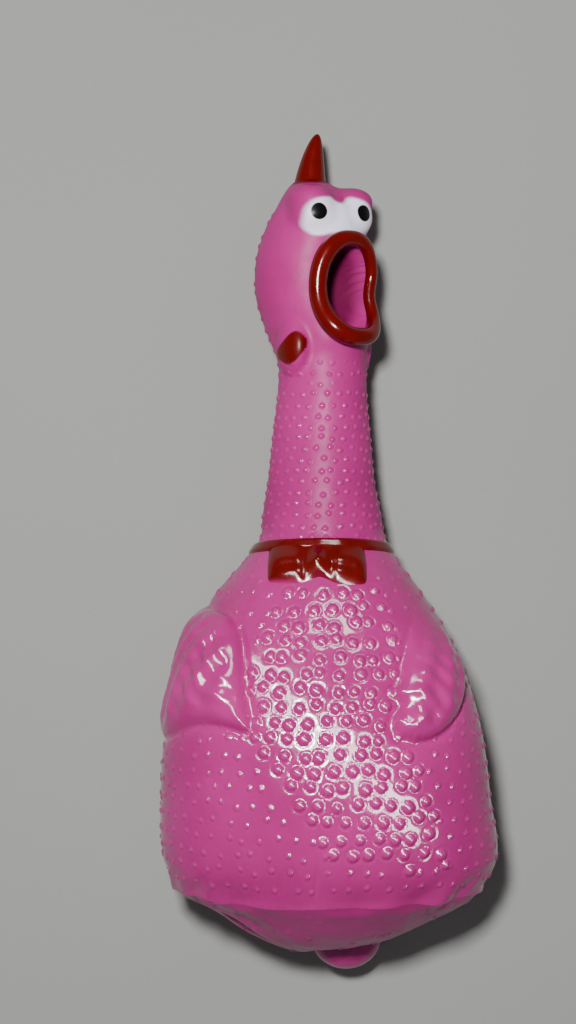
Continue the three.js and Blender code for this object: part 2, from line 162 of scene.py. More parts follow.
def grid_normals(points: Array, wraps: bool = True) -> Array:
    """Unit normals of a grid of points: the cross product of its two neighbour differences.

    Args:
        points: rows by columns by 3.
        wraps: whether the last column joins the first.

    Returns:
        Normals of the same shape, a pole taking its neighbours' mean.
    """
    down = np.gradient(points, axis=0)
    if wraps:
        across = np.roll(points, -1, axis=1) - np.roll(points, 1, axis=1)
    else:
        across = np.gradient(points, axis=1)
    normal = np.cross(down, across)
    length = np.linalg.norm(normal, axis=2, keepdims=True)
    normal = normal / np.maximum(length, 1e-12)
    for end, beside in ((0, 1), (-1, -2)):
        if length[end].max() < 1e-6:
            mean = normal[beside].mean(axis=0)
            normal[end] = mean / np.linalg.norm(mean)
    return normal


def outline_distance(points: Array, outline: Array) -> Array:
    """Signed distance from flat points to a closed outline, positive inside.

    The distance to each straight side is found and the least is kept; a crossing count gives the sign.

    Args:
        points: n by 2.
        outline: m by 2 corners in order.

    Returns:
        n distances.
    """
    a, b = outline, np.roll(outline, -1, axis=0)
    side = b - a
    gap = points[:, None, :] - a[None]
    t = np.clip((gap * side).sum(2) / (side * side).sum(1), 0, 1)
    least = np.linalg.norm(gap - t[..., None] * side, axis=2).min(axis=1)
    above_a = a[None, :, 1] > points[:, None, 1]
    above_b = b[None, :, 1] > points[:, None, 1]
    run = side[:, 1] + np.where(side[:, 1] == 0, 1e-9, 0)
    cross_x = a[:, 0] + (points[:, None, 1] - a[:, 1]) / run * side[:, 0]
    inside = ((above_a != above_b) & (points[:, None, 0] < cross_x)).sum(1) % 2 == 1
    return np.where(inside, least, -least)


def rounded_outline(corners: list[tuple[float, float]], passes: int = 3) -> Array:
    """Cuts each corner of a closed outline at a quarter and three quarters of its sides, over and over.

    Args:
        corners: the corners, in order.
        passes: how often they are cut.

    Returns:
        The finer outline, n by 2.
    """
    line = np.array(corners, float)
    for _ in range(passes):
        ahead = np.roll(line, -1, axis=0)
        line = np.stack([0.75 * line + 0.25 * ahead, 0.25 * line + 0.75 * ahead], 1).reshape(-1, 2)
    return line


def ellipsoid_distance(points: Array, centre: Place, radii: Place) -> Array:
    """Near signed distance to an ellipsoid: k(k - 1)/g, k and g the lengths of p/r and p/r^2.

    Args:
        points: places, three numbers each.
        centre: the ellipsoid's middle.
        radii: its three radii.

    Returns:
        A distance for each point, negative inside.
    """
    p = (points - np.array(centre)) / np.array(radii)
    k = np.linalg.norm(p, axis=-1)
    g = np.linalg.norm(p / np.array(radii), axis=-1)
    return k * (k - 1.0) / np.maximum(g, 1e-9)


def join(a: Array, b: Array, soft: float) -> Array:
    """Smooth least of two signed distances: a fillet of about the size soft where they meet.

    Args:
        a: one distance.
        b: the other.
        soft: size of the fillet in mm.

    Returns:
        The joined distance.
    """
    h = np.maximum(soft - np.abs(a - b), 0.0) / soft
    return np.minimum(a, b) - h * h * soft * 0.25


def cut(a: Array, hole: Array, soft: float) -> Array:
    """a with the shape hole taken out of it, its rim rounded by about the size soft.

    Args:
        a: distance to the shape.
        hole: distance to what is taken out.
        soft: size of the rounding in mm.

    Returns:
        The distance to what is left.
    """
    return -join(-a, hole, soft)


# ---------------------------------------------------------------- meshes
def lay_mesh(
    name: str,
    points: Array,
    wraps: bool = True,
    normals: Array | None = None,
    values: dict[str, Array] | None = None,
) -> bpy.types.Object:
    """Makes an object from a grid of points, as quads, with its outside facing out.

    A first or last row that has shrunk to a point becomes a fan of triangles.

    Args:
        name: the piece's name.
        points: rows by columns by 3, in metres.
        wraps: whether the last column joins the first.
        normals: the normals to shade with, where a seam must not show.
        values: numbers per point, stored as named attributes.

    Returns:
        The new object, linked into the scene.
    """
    rows, cols = points.shape[:2]
    index = np.arange(rows * cols).reshape(rows, cols)
    keep = np.ones(rows * cols, bool)
    for end in (0, rows - 1):
        if wraps and np.ptp(points[end], axis=0).max() < 1e-9:
            index[end] = index[end, 0]
            keep[end * cols + 1 : (end + 1) * cols] = False
    remap = np.cumsum(keep) - 1
    index = remap[index]
    across = (np.roll(points, -1, axis=1) - points)[:-1]
    turned = np.cross(across, np.diff(points, axis=0))
    away = points - points.mean(axis=1, keepdims=True) if wraps else np.array([0, 0, 1.0])
    if (turned * (away[:-1] if wraps else away))[:, :-1].sum() < 0:
        index = index[:, ::-1]
    ring = np.concatenate([index, index[:, :1]], axis=1) if wraps else index
    quads = np.stack([ring[:-1, :-1], ring[:-1, 1:], ring[1:, 1:], ring[1:, :-1]], -1).reshape(-1, 4)
    first = (quads[:, 0] == quads[:, 1])[:, None]
    last = (quads[:, 2] == quads[:, 3])[:, None]
    plain = quads[~(first | last)[:, 0]]
    fans = np.concatenate([quads[first[:, 0]][:, [0, 2, 3]], quads[last[:, 0]][:, [0, 1, 2]]])
    loops = np.concatenate([plain.reshape(-1), fans.reshape(-1)]).astype(np.int32)
    starts = np.concatenate([np.arange(len(plain)) * 4, len(plain) * 4 + np.arange(len(fans)) * 3])
    starts = starts.astype(np.int32)
    mesh = bpy.data.meshes.new(name)
    flat = points.reshape(-1, 3)[keep]
    mesh.vertices.add(len(flat))
    mesh.loops.add(len(loops))
    mesh.polygons.add(len(starts))
    mesh.vertices.foreach_set("co", flat.astype(np.float32).reshape(-1))
    mesh.loops.foreach_set("vertex_index", loops)
    mesh.polygons.foreach_set("loop_start", starts)
    mesh.update(calc_edges=True)
    mesh.validate()
    mesh.shade_smooth()
    for label, numbers in (values or {}).items():
        attribute = mesh.attributes.new(label, "FLOAT", "POINT")
        attribute.data.foreach_set("value", numbers.reshape(-1)[keep].astype(np.float32))
    if normals is not None:
        mesh.normals_split_custom_set_from_vertices(normals.reshape(-1, 3)[keep])
    obj = bpy.data.objects.new(name, mesh)
    bpy.context.scene.collection.objects.link(obj)
    return obj


def tube(path: Array, radius: Array, sides: int, middle: Array) -> Array:
    """A round tube round a closed path: each point plus radius times the circle square to the path.

    Args:
        path: n by 3 points.
        radius: n radii.
        sides: points round the tube.
        middle: a point inside the loop, which fixes where each circle starts.

    Returns:
        n by sides by 3 points.
    """
    along = np.roll(path, -1, axis=0) - np.roll(path, 1, axis=0)
    along /= np.linalg.norm(along, axis=1, keepdims=True)
    out = path - middle
    out -= (out * along).sum(1, keepdims=True) * along
    out /= np.linalg.norm(out, axis=1, keepdims=True)
    side = np.cross(along, out)
    a = np.linspace(0, 2 * math.pi, sides, endpoint=False)[None, :, None]
    return path[:, None] + radius[:, None, None] * (np.cos(a) * out[:, None] + np.sin(a) * side[:, None])


# ---------------------------------------------------------------- the form of the toy
@dataclass
class Form:
    """The toy's overall form: the same stations as the frame, as formulas on whole arrays."""

    stations: Array = field(
        default_factory=lambda: np.array(
            [
                # y, reach to -X, reach to +X, front, back, height of the widest point
                [48, 12.6, 10.6, 31.2, 7.8, 19.5],
                [38, 13.3, 10.8, 31.6, 7.4, 19.5],
                [28, 14.5, 11.7, 32.6, 6.4, 19.5],
                [16, 15.8, 12.8, 33.9, 5.1, 19.5],
                [7, 17.2, 14.6, 35.0, 4.0, 19.5],
                [1, 17.9, 15.7, 36.4, 2.4, 19.5],
                [-5, 22.2, 19.2, 39.6, 1.7, 20.0],
                [-13, 29.2, 25.0, 45.0, -1.2, 21.5],
                [-23, 36.0, 31.6, 50.5, -2.4, 23.5],
                [-35, 39.6, 36.8, 55.5, -3.0, 25.5],
                [-50, 43.0, 40.9, 59.5, -3.2, 27.0],
                [-68, 44.0, 43.2, 61.0, -3.2, 27.5],
                [-82, 43.5, 44.9, 58.5, -3.0, 26.5],
                [-91, 40.4, 41.0, 54.0, -2.0, 24.5],
            ],
            float,
        )
    )
    head: Array = field(
        default_factory=lambda: np.array(
            [
                # y, half width, middle of the depth, half depth, in the head's own turned frame
                [46, 11.6, -0.4, 11.9],
                [50, 11.5, -0.9, 13.0],
                [54, 12.0, -1.7, 15.0],
                [58, 13.1, -2.9, 15.6],
                [65, 15.0, -4.8, 15.1],
                [71.5, 15.4, -5.4, 14.7],
                [78, 14.8, -4.8, 14.7],
                [84.5, 13.0, -3.6, 13.8],
                [89.5, 10.8, -2.8, 11.4],
                [93.2, 7.9, -3.2, 8.2],
                [95.4, 4.6, -3.8, 4.8],
                [96.4, 0, -4, 0],
            ],
            float,
        )
    )
    crease_y: float = -91.0
    front_drop: float = 1.5
    back_drop: float = 13.0
    rump_pole: Place = (3.0, -108.5, 13.0)
    rump_bulge: float = 3.4
    rump_front_bulge: float = 2.0
    rump_side_bulge: float = 0.8
    neck_x: float = -1.0
    spine_z: float = 19.5
    turn: float = math.radians(36)

    def skin(self, y: Array, angle: Array) -> Array:
        """Points of the neck and body: a superellipse across, its reaches read from the stations.

        x = reach * cos^(2/n), z = middle + height * sin^(2/n), held at the ground, and the crease
        drops with the square of the sine.

        Args:
            y: station of each point.
            angle: angle from +X towards the belly.

        Returns:
            Points with a last axis of 3.
        """
        y, angle = np.broadcast_arrays(np.asarray(y, float), np.asarray(angle, float))
        n = 2.0 + 0.3 * smooth(-y, 0, 30)
        c, s = np.cos(angle), np.sin(angle)
        middle = hermite(self.stations, 5, y)
        reach = np.where(c < 0, hermite(self.stations, 1, y), hermite(self.stations, 2, y))
        back, front = hermite(self.stations, 4, y), hermite(self.stations, 3, y)
        height = np.where(s < 0, middle - back, front - middle)
        x = reach * signed_power(c, 2 / n)
        z = middle + height * signed_power(s, 2 / n)
        drop = np.where(s > 0, self.front_drop, self.back_drop) * s * s * smooth(-y, 60, -self.crease_y)
        return np.stack([x, y - drop, np.maximum(z, 0.0)], -1)

    def rump(self, share: Array, angle: Array) -> Array:
        """Points under the crease: the crease's ring drawn to the pole, bulging by a half sine.

        On the left the bulge is fuller towards the pole and flatter beside the crease.

        Args:
            share: 0 at the crease to 1 at the pole.
            angle: angle round the body.

        Returns:
            Points of the broadcast shape by 3.
        """
        share, angle = np.broadcast_arrays(share, angle)
        edge = self.skin(np.full(share.shape, self.crease_y), angle)
        s = share[..., None]
        p = edge * (1 - s) + np.array(self.rump_pole) * s
        bulge = self.rump_bulge + self.rump_front_bulge * np.sin(angle)
        bulge = bulge - self.rump_side_bulge * np.cos(angle)
        p[..., 1] -= bulge * np.sin(math.pi * share**0.95)
        left = smooth(-np.cos(angle), 0.2, 0.8)
        p[..., 1] -= left * (1.5 * bell(share - 0.72, 0.2) - 1.5 * bell(share - 0.2, 0.15))
        p[..., 2] = np.maximum(p[..., 2], 0.0)
        return p

    def to_world(self, local: Array) -> Array:
        """Turns points of the head's own frame by the head's turn about the neck's axis.

        Args:
            local: points in the head's frame.

        Returns:
            The points in the toy's frame.
        """
        c, s = math.cos(self.turn), math.sin(self.turn)
        x = local[..., 0] * c + local[..., 2] * s + self.neck_x
        z = -local[..., 0] * s + local[..., 2] * c + self.spine_z
        return np.stack([x, local[..., 1], z], -1)

    def to_local(self, world: Array) -> Array:
        """The reverse of to_world.

        Args:
            world: points in the toy's frame.

        Returns:
            The points in the head's frame.
        """
        c, s = math.cos(self.turn), math.sin(self.turn)
        x, z = world[..., 0] - self.neck_x, world[..., 2] - self.spine_z
        return np.stack([x * c - z * s, world[..., 1], x * s + z * c], -1)

    def throat_and_head(self, y: Array, angle: Array) -> Array:
        """Neck skin that runs over into the head between y 43 and 50, in the toy's frame.

        Args:
            y: heights on the neck or head.
            angle: angles round it.

        Returns:
            Points of the broadcast shape by 3.
        """
        y, angle = np.broadcast_arrays(y, angle)
        local = angle + self.turn
        half, middle, depth = (hermite(self.head, k, y) for k in (1, 2, 3))
        head = self.to_world(np.stack([half * np.cos(local), y, middle + depth * np.sin(local)], -1))
        share = smooth(y, 43, 50)[..., None]
        return self.skin(np.minimum(y, 48), angle) * np.array([1, 0, 1]) * (1 - share) + (
            head * np.array([1, 0, 1]) * share
        ) + y[..., None] * np.array([0, 1, 0])

    def front(self, x: Array, y: Array) -> Array:
        """Height of the body's front over x and y, from the superellipse's own equation.

        Args:
            x: places across the body.
            y: places along it.

        Returns:
            The height of the skin there.
        """
        n = 2.0 + 0.3 * smooth(-y, 0, 30)
        reach = np.where(x < 0, hermite(self.stations, 1, y), hermite(self.stations, 2, y))
        middle = hermite(self.stations, 5, y)
        inside = np.clip(1 - (np.abs(x) / reach) ** n, 1e-4, 1) ** (1 / n)
        return middle + (hermite(self.stations, 3, y) - middle) * inside


class StudZone(Enum):
    """Where a stud stands, which sets its size."""

    BELLY = (1.4, 0.74)
    FLANK = (0.78, 0.36)
    NECK = (0.72, 0.34)
    RUMP = (0.8, 0.3)

    @property
    def radius(self) -> float:
        """Foot radius in mm."""
        return self.value[0]

    @property
    def height(self) -> float:
        """Height in mm."""
        return self.value[1]


@dataclass
class Studs:
    """The moulded studs: staggered rings of them, each a little off its place."""

    form: Form
    seed: int = 4

    def ring_of(self, surface: Callable[[Array, Array], Array], at: float, pitch: float, odd: bool,
                rng: np.random.Generator) -> Array:
        """Stud feet on one ring of a surface, a pitch apart along it.

        Args:
            surface: f(along, angle) giving points.
            at: where along the surface the ring lies.
            pitch: spacing in mm.
            odd: whether to start half a pitch on.
            rng: the generator for the small offsets.

        Returns:
            n by 3 points.
        """
        fine = np.linspace(0, 2 * math.pi, 721)
        line = surface(np.full(fine.shape, at), fine)
        length = np.concatenate([[0], np.cumsum(np.linalg.norm(np.diff(line, axis=0), axis=1))])
        count = max(6, round(length[-1] / pitch))
        place = (np.arange(count) + (0.5 if odd else 0) + rng.uniform(-0.19, 0.19, count)) / count
        angle = np.interp((place % 1) * length[-1], length, fine)
        shift = at + rng.uniform(-0.19, 0.19, count) * pitch
        return surface(shift, angle)

    def feet(self, surface: Callable[[Array, Array], Array], start: float, end: float, pitch: float,
             seed: int) -> Array:
        """Stud feet on every ring from start to end.

        Args:
            surface: gives points from a place along the piece and an angle.
            start: place of the first ring.
            end: place that the rings stop before.
            pitch: spacing in mm.
            seed: added to the studs' own seed.

        Returns:
            Feet, n by 3.
        """
        rng = np.random.default_rng(self.seed + seed)
        rings = np.arange(start, end, math.copysign(pitch * 0.88, end - start))
        found = [self.ring_of(surface, at, pitch, k % 2 == 1, rng) for k, at in enumerate(rings)]
        return np.concatenate(found)

    def relief(self, points: Array, feet: Array, radius: Array, height: Array) -> tuple[Array, Array]:
        """Height of the studs: height * (1 - (d/r)^2)^0.6 of the nearest foot, and a shallow moat.

        Args:
            points: rows by columns by 3.
            feet: stud feet.
            radius: foot radius of each.
            height: height of each.

        Returns:
            The heights in mm, and how far up its stud each point is, 0 to 1.
        """
        out = np.zeros(points.shape[:2])
        share = np.zeros(points.shape[:2])
        for first in range(0, len(points), 6):
            block = points[first : first + 6]
            low, high = block[..., 1].min() - 2, block[..., 1].max() + 2
            near = (feet[:, 1] > low) & (feet[:, 1] < high)
            if not near.any():
                continue
            flat = block.reshape(-1, 3).astype(np.float32)
            sites = feet[near].astype(np.float32)
            square = (flat**2).sum(1)[:, None] + (sites**2).sum(1) - 2 * flat @ sites.T
            best = square.argmin(1)
            gap = np.sqrt(np.maximum(square[np.arange(len(flat)), best], 0))
            foot, tall = radius[near][best], height[near][best]
            t = np.clip(1 - (gap / foot) ** 2, 0, 1)
            moat = 0.2 * tall * bell(gap / foot - 1.25, 0.22)
            share[first : first + 6] = t.reshape(block.shape[:2])
            out[first : first + 6] = (tall * t**0.6 - moat).reshape(block.shape[:2])
        return out, share


# ---------------------------------------------------------------- finishes
SKIN_VALUES = ("stud", "soil", "mouth", "white", "pupil", "patch", "reddened", "dry")


def colour(hex_code: str) -> tuple[float, float, float, float]:
    """An sRGB hex value as the linear colour that a shader takes.

    Args:
        hex_code: six digits after a hash.

    Returns:
        Red, green, blue and alpha.
    """
    parts = [int(hex_code[k : k + 2], 16) / 255 for k in (1, 3, 5)]
    linear = [p / 12.92 if p <= 0.04045 else ((p + 0.055) / 1.055) ** 2.4 for p in parts]
    return (*linear, 1.0)


def node(tree: bpy.types.NodeTree, kind: str, inputs: dict[str | int, object] | None = None,
         **fields: object) -> bpy.types.Node:
    """Adds a shader node with its settings and links.

    Args:
        tree: the material's tree.
        kind: Blender's name for the node.
        inputs: by input name or number, the value to set there or the socket to join to it.
        **fields: the node's own properties.

    Returns:
        The node.
    """
    made = tree.nodes.new(kind)
    for key, value in fields.items():
        setattr(made, key, value)
    for key, value in (inputs or {}).items():
        if isinstance(value, bpy.types.NodeSocket):
            tree.links.new(value, made.inputs[key])
        else:
            made.inputs[key].default_value = value
    return made


def blank(name: str) -> tuple[bpy.types.Material, bpy.types.NodeTree, bpy.types.Node]:
    """Makes a material that holds a Principled shader joined to its output.

    Args:
        name: the material's name.

    Returns:
        The material, its tree and the shader.
    """
    material = bpy.data.materials.new(name)
    material.use_nodes = True
    tree = material.node_tree
    tree.nodes.clear()
    shader = node(tree, "ShaderNodeBsdfPrincipled")
    node(tree, "ShaderNodeOutputMaterial", {"Surface": shader.outputs[0]})
    return material, tree, shader


@dataclass(frozen=True)
class Pattern:
    """Noise on Object coordinates: features size_mm across, its range low..high stretched to a new one."""

    size_mm: float
    detail: float = 3.0
    low: float = 0.3
    high: float = 0.7
    to_low: float = 0.0
    to_high: float = 1.0

    def socket(self, tree: bpy.types.NodeTree) -> bpy.types.NodeSocket:
        """Adds the pattern to a material.

        Args:
            tree: the material's tree.

        Returns:
            The socket that gives the stretched noise.
        """
        where = node(tree, "ShaderNodeTexCoord").outputs["Object"]
        scale = 1000.0 / self.size_mm
        raw = node(tree, "ShaderNodeTexNoise", {"Vector": where, "Scale": scale, "Detail": self.detail})
        ends = {1: self.low, 2: self.high, 3: self.to_low, 4: self.to_high}
        return node(tree, "ShaderNodeMapRange", {0: raw.outputs[0], **ends}).outputs[0]


@dataclass(frozen=True)
class Vinyl:
    """Plasticised PVC, rotation moulded: the toy's skin, coloured through.

    The plasticiser gives an oily wet gloss, the thin wall a little glow, and the mould a faint
    orange peel. The stud tops are painted paler than their feet, a painted highlight on the relief,
    and the inside of the mouth is painted dark, a painted shade. Grime gathers at the crease, and
    the head and neck, where hands hold it, have lost most of the gloss.
    """

    name: str = "vinyl_soft_pvc_pink"
    body: str = "#B02B7B"
    deep: str = "#A2246F"
    pale: str = "#BC3C87"
    grime: str = "#7E2A5E"
    # painted shade: the dark colour laid inside the mouth, standing in for the shade of a deep cavity
    throat: str = "#650D3C"
    white: str = "#F0EAFF"
    red: str = "#5E0402"
    black: str = "#040404"
    cloud: Pattern = Pattern(22.0, 3.0, 0.35, 0.65)
    specks: Pattern = Pattern(1.6, 5.0, 0.5, 0.72)
    gloss: Pattern = Pattern(5.0, 4.0, 0.3, 0.7, 0.09, 0.17)
    orange_peel: Pattern = Pattern(0.9, 2.0, 0.0, 1.0)
    fleshy: Pattern = Pattern(5.0, 1.0, 0.0, 1.0)
    dry_roughness: float = 0.3
    ior: float = 1.46

    def make(self) -> bpy.types.Material:
        """Builds the material: cloudy pink, a painted highlight on the stud tops, a painted shade in the
        mouth, then each paint over it by its own mask.

        Returns:
            The material.
        """
        material, tree, shader = blank(self.name)
        read = {k: node(tree, "ShaderNodeAttribute", attribute_name=k).outputs["Fac"] for k in SKIN_VALUES}
        # painted highlight: the stud tops are painted paler than their feet, standing in for light on the
        # relief
        stud_top_painted_highlight = node(tree, "ShaderNodeMapRange", {0: read["stud"], 1: 0.25, 2: 1.0, 3: 0.0, 4: 0.35})
        soiled = {0: read["soil"], 1: self.specks.socket(tree)}
        dirt = node(tree, "ShaderNodeMath", soiled, operation="MULTIPLY")
        dot = node(tree, "ShaderNodeMapRange", {0: read["pupil"], 1: -0.12, 2: 0.12, 3: 1.0, 4: 0.0})
        # the mouth layer is a painted shade that darkens the mouth's inside
        layers = (
            (self.cloud.socket(tree), self.body),
            (stud_top_painted_highlight.outputs[0], self.pale),
            (dirt.outputs[0], self.grime),
            (read["mouth"], self.throat),
            (read["white"], self.white),
            (read["reddened"], self.red),
            (read["patch"], self.red),
            (dot.outputs[0], self.black),
        )
        skin = colour(self.deep)
        for share, paint in layers:
            over = {0: share, 6: skin, 7: colour(paint)}
            skin = node(tree, "ShaderNodeMix", over, data_type="RGBA").outputs[2]
        worn = {0: read["dry"], 1: self.dry_roughness, 2: self.gloss.socket(tree)}
        rough = node(tree, "ShaderNodeMath", worn, operation="MULTIPLY_ADD")
        level = node(tree, "ShaderNodeMapRange", {0: read["dry"], 1: 0.0, 2: 1.0, 3: 0.5, 4: 0.18})
        peel = node(tree, "ShaderNodeBump",
                    {"Strength": 0.12, "Distance": 0.00015, "Height": self.orange_peel.socket(tree)})
        flesh = node(tree, "ShaderNodeBump",
                     {"Strength": 0.35, "Distance": 0.0005, "Height": self.fleshy.socket(tree),
                      "Normal": peel.outputs[0]})
        tree.links.new(skin, shader.inputs["Base Color"])
        tree.links.new(rough.outputs[0], shader.inputs["Roughness"])
        tree.links.new(level.outputs[0], shader.inputs["Specular IOR Level"])
        tree.links.new(flesh.outputs[0], shader.inputs["Normal"])
        shader.inputs["IOR"].default_value = self.ior
        shader.inputs["Subsurface Weight"].default_value = 0.12
        shader.inputs["Subsurface Radius"].default_value = (1.0, 0.25, 0.5)
        shader.inputs["Subsurface Scale"].default_value = 0.002
        return material


@dataclass(frozen=True)
class SprayedPaint:
    """Vinyl paint sprayed through a mask on the moulded relief: thick, wet looking, thin at its edge."""

    name: str
    body: str
    thin: str
    bleed: str = "#AD226A"
    cloud: Pattern = Pattern(6.0, 3.0, 0.35, 0.7, 0.0, 0.5)
    gloss: Pattern = Pattern(3.0, 4.0, 0.3, 0.7, 0.11, 0.2)
    runs: Pattern = Pattern(1.8, 2.0, 0.0, 1.0)

    def make(self) -> bpy.types.Material:
        """Builds the material: two tones of one paint, clouded, with the skin's pink at a thin edge.

        Returns:
            The material.
        """
        material, tree, shader = blank(self.name)
        thin_edge = node(tree, "ShaderNodeAttribute", attribute_name="overspray").outputs["Fac"]
        coat = colour(self.body)
        for share, paint in ((self.cloud.socket(tree), self.thin), (thin_edge, self.bleed)):
            over = {0: share, 6: coat, 7: colour(paint)}
            coat = node(tree, "ShaderNodeMix", over, data_type="RGBA").outputs[2]
        bump = node(tree, "ShaderNodeBump",
                    {"Strength": 0.15, "Distance": 0.0002, "Height": self.runs.socket(tree)})
        tree.links.new(coat, shader.inputs["Base Color"])
        tree.links.new(self.gloss.socket(tree), shader.inputs["Roughness"])
        tree.links.new(bump.outputs[0], shader.inputs["Normal"])
        shader.inputs["IOR"].default_value = 1.4
        return material


@dataclass(frozen=True)
class Polystyrene:
    """Injection moulded polystyrene: the squeaker, pale, faintly yellowed, satin from the mould."""

    name: str
    body: str
    shade: str
    rough: float
    drift: Pattern = Pattern(4.0)
    grain: Pattern = Pattern(0.4, 2.0, 0.0, 1.0)

    def make(self) -> bpy.types.Material:
        """Builds the material: a slow drift of tone and the mould's fine grain.

        Returns:
            The material.
        """
        material, tree, shader = blank(self.name)
        tones = {0: self.drift.socket(tree), 6: colour(self.body), 7: colour(self.shade)}
        tone = node(tree, "ShaderNodeMix", tones, data_type="RGBA")
        bump = node(tree, "ShaderNodeBump",
                    {"Strength": 0.2, "Distance": 0.0001, "Height": self.grain.socket(tree)})
        tree.links.new(tone.outputs[2], shader.inputs["Base Color"])
        tree.links.new(bump.outputs[0], shader.inputs["Normal"])
        shader.inputs["Roughness"].default_value = self.rough
        shader.inputs["IOR"].default_value = 1.59
        return material


@dataclass(frozen=True)
class FloorPaint:
    """Matt emulsion on a studio board: pale grey, with a slow drift of tone and no shine."""

    name: str = "studio_floor_pale"
    body: str = "#8C8D89"
    shade: str = "#91928E"
    drift: Pattern = Pattern(300.0)

    def make(self) -> bpy.types.Material:
        """Builds the material: two near tones, clouded.

        Returns:
            The material.
        """
        material, tree, shader = blank(self.name)
        tones = {0: self.drift.socket(tree), 6: colour(self.body), 7: colour(self.shade)}
        tone = node(tree, "ShaderNodeMix", tones, data_type="RGBA")
        tree.links.new(tone.outputs[2], shader.inputs["Base Color"])
        shader.inputs["Roughness"].default_value = 0.8
        return material


# ---------------------------------------------------------------- sub-assemblies
@dataclass
class Placer:
    """Puts shapes given in the toy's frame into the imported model's frame, in metres."""

    form: Form

    def __post_init__(self) -> None:
        """Reads the offset from one piece of the frame whose place in the toy's frame is known."""
        low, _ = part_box("neck_lower_shell")
        deck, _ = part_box("reed_block")
        self.offset = np.array([deck[0] / MM + 4.0 - self.form.neck_x, low[1] / MM - 12.0, 0.0])

    def __call__(self, points: Array) -> Array:
        """Points in the toy's frame, moved and turned to metres."""
        return (points + self.offset) * MM

    def at(self, x: float, y: float, z: float) -> Place:
        """One point as a tuple of metres."""
        return tuple(float(v) for v in self(np.array([x, y, z])))


def skin_values(shape: tuple[int, ...], **given: Array) -> dict[str, Array]:
    """Every mask that the vinyl reads: those given, nothing elsewhere, and pupils far away.

    Args:
        shape: rows and columns of the piece.
        **given: the masks that the piece has.

    Returns:
        Every mask by name.
    """
    made = {k: np.zeros(shape) for k in SKIN_VALUES}
    made["pupil"] = np.full(shape, 9.0)
    made.update(given)
    return made


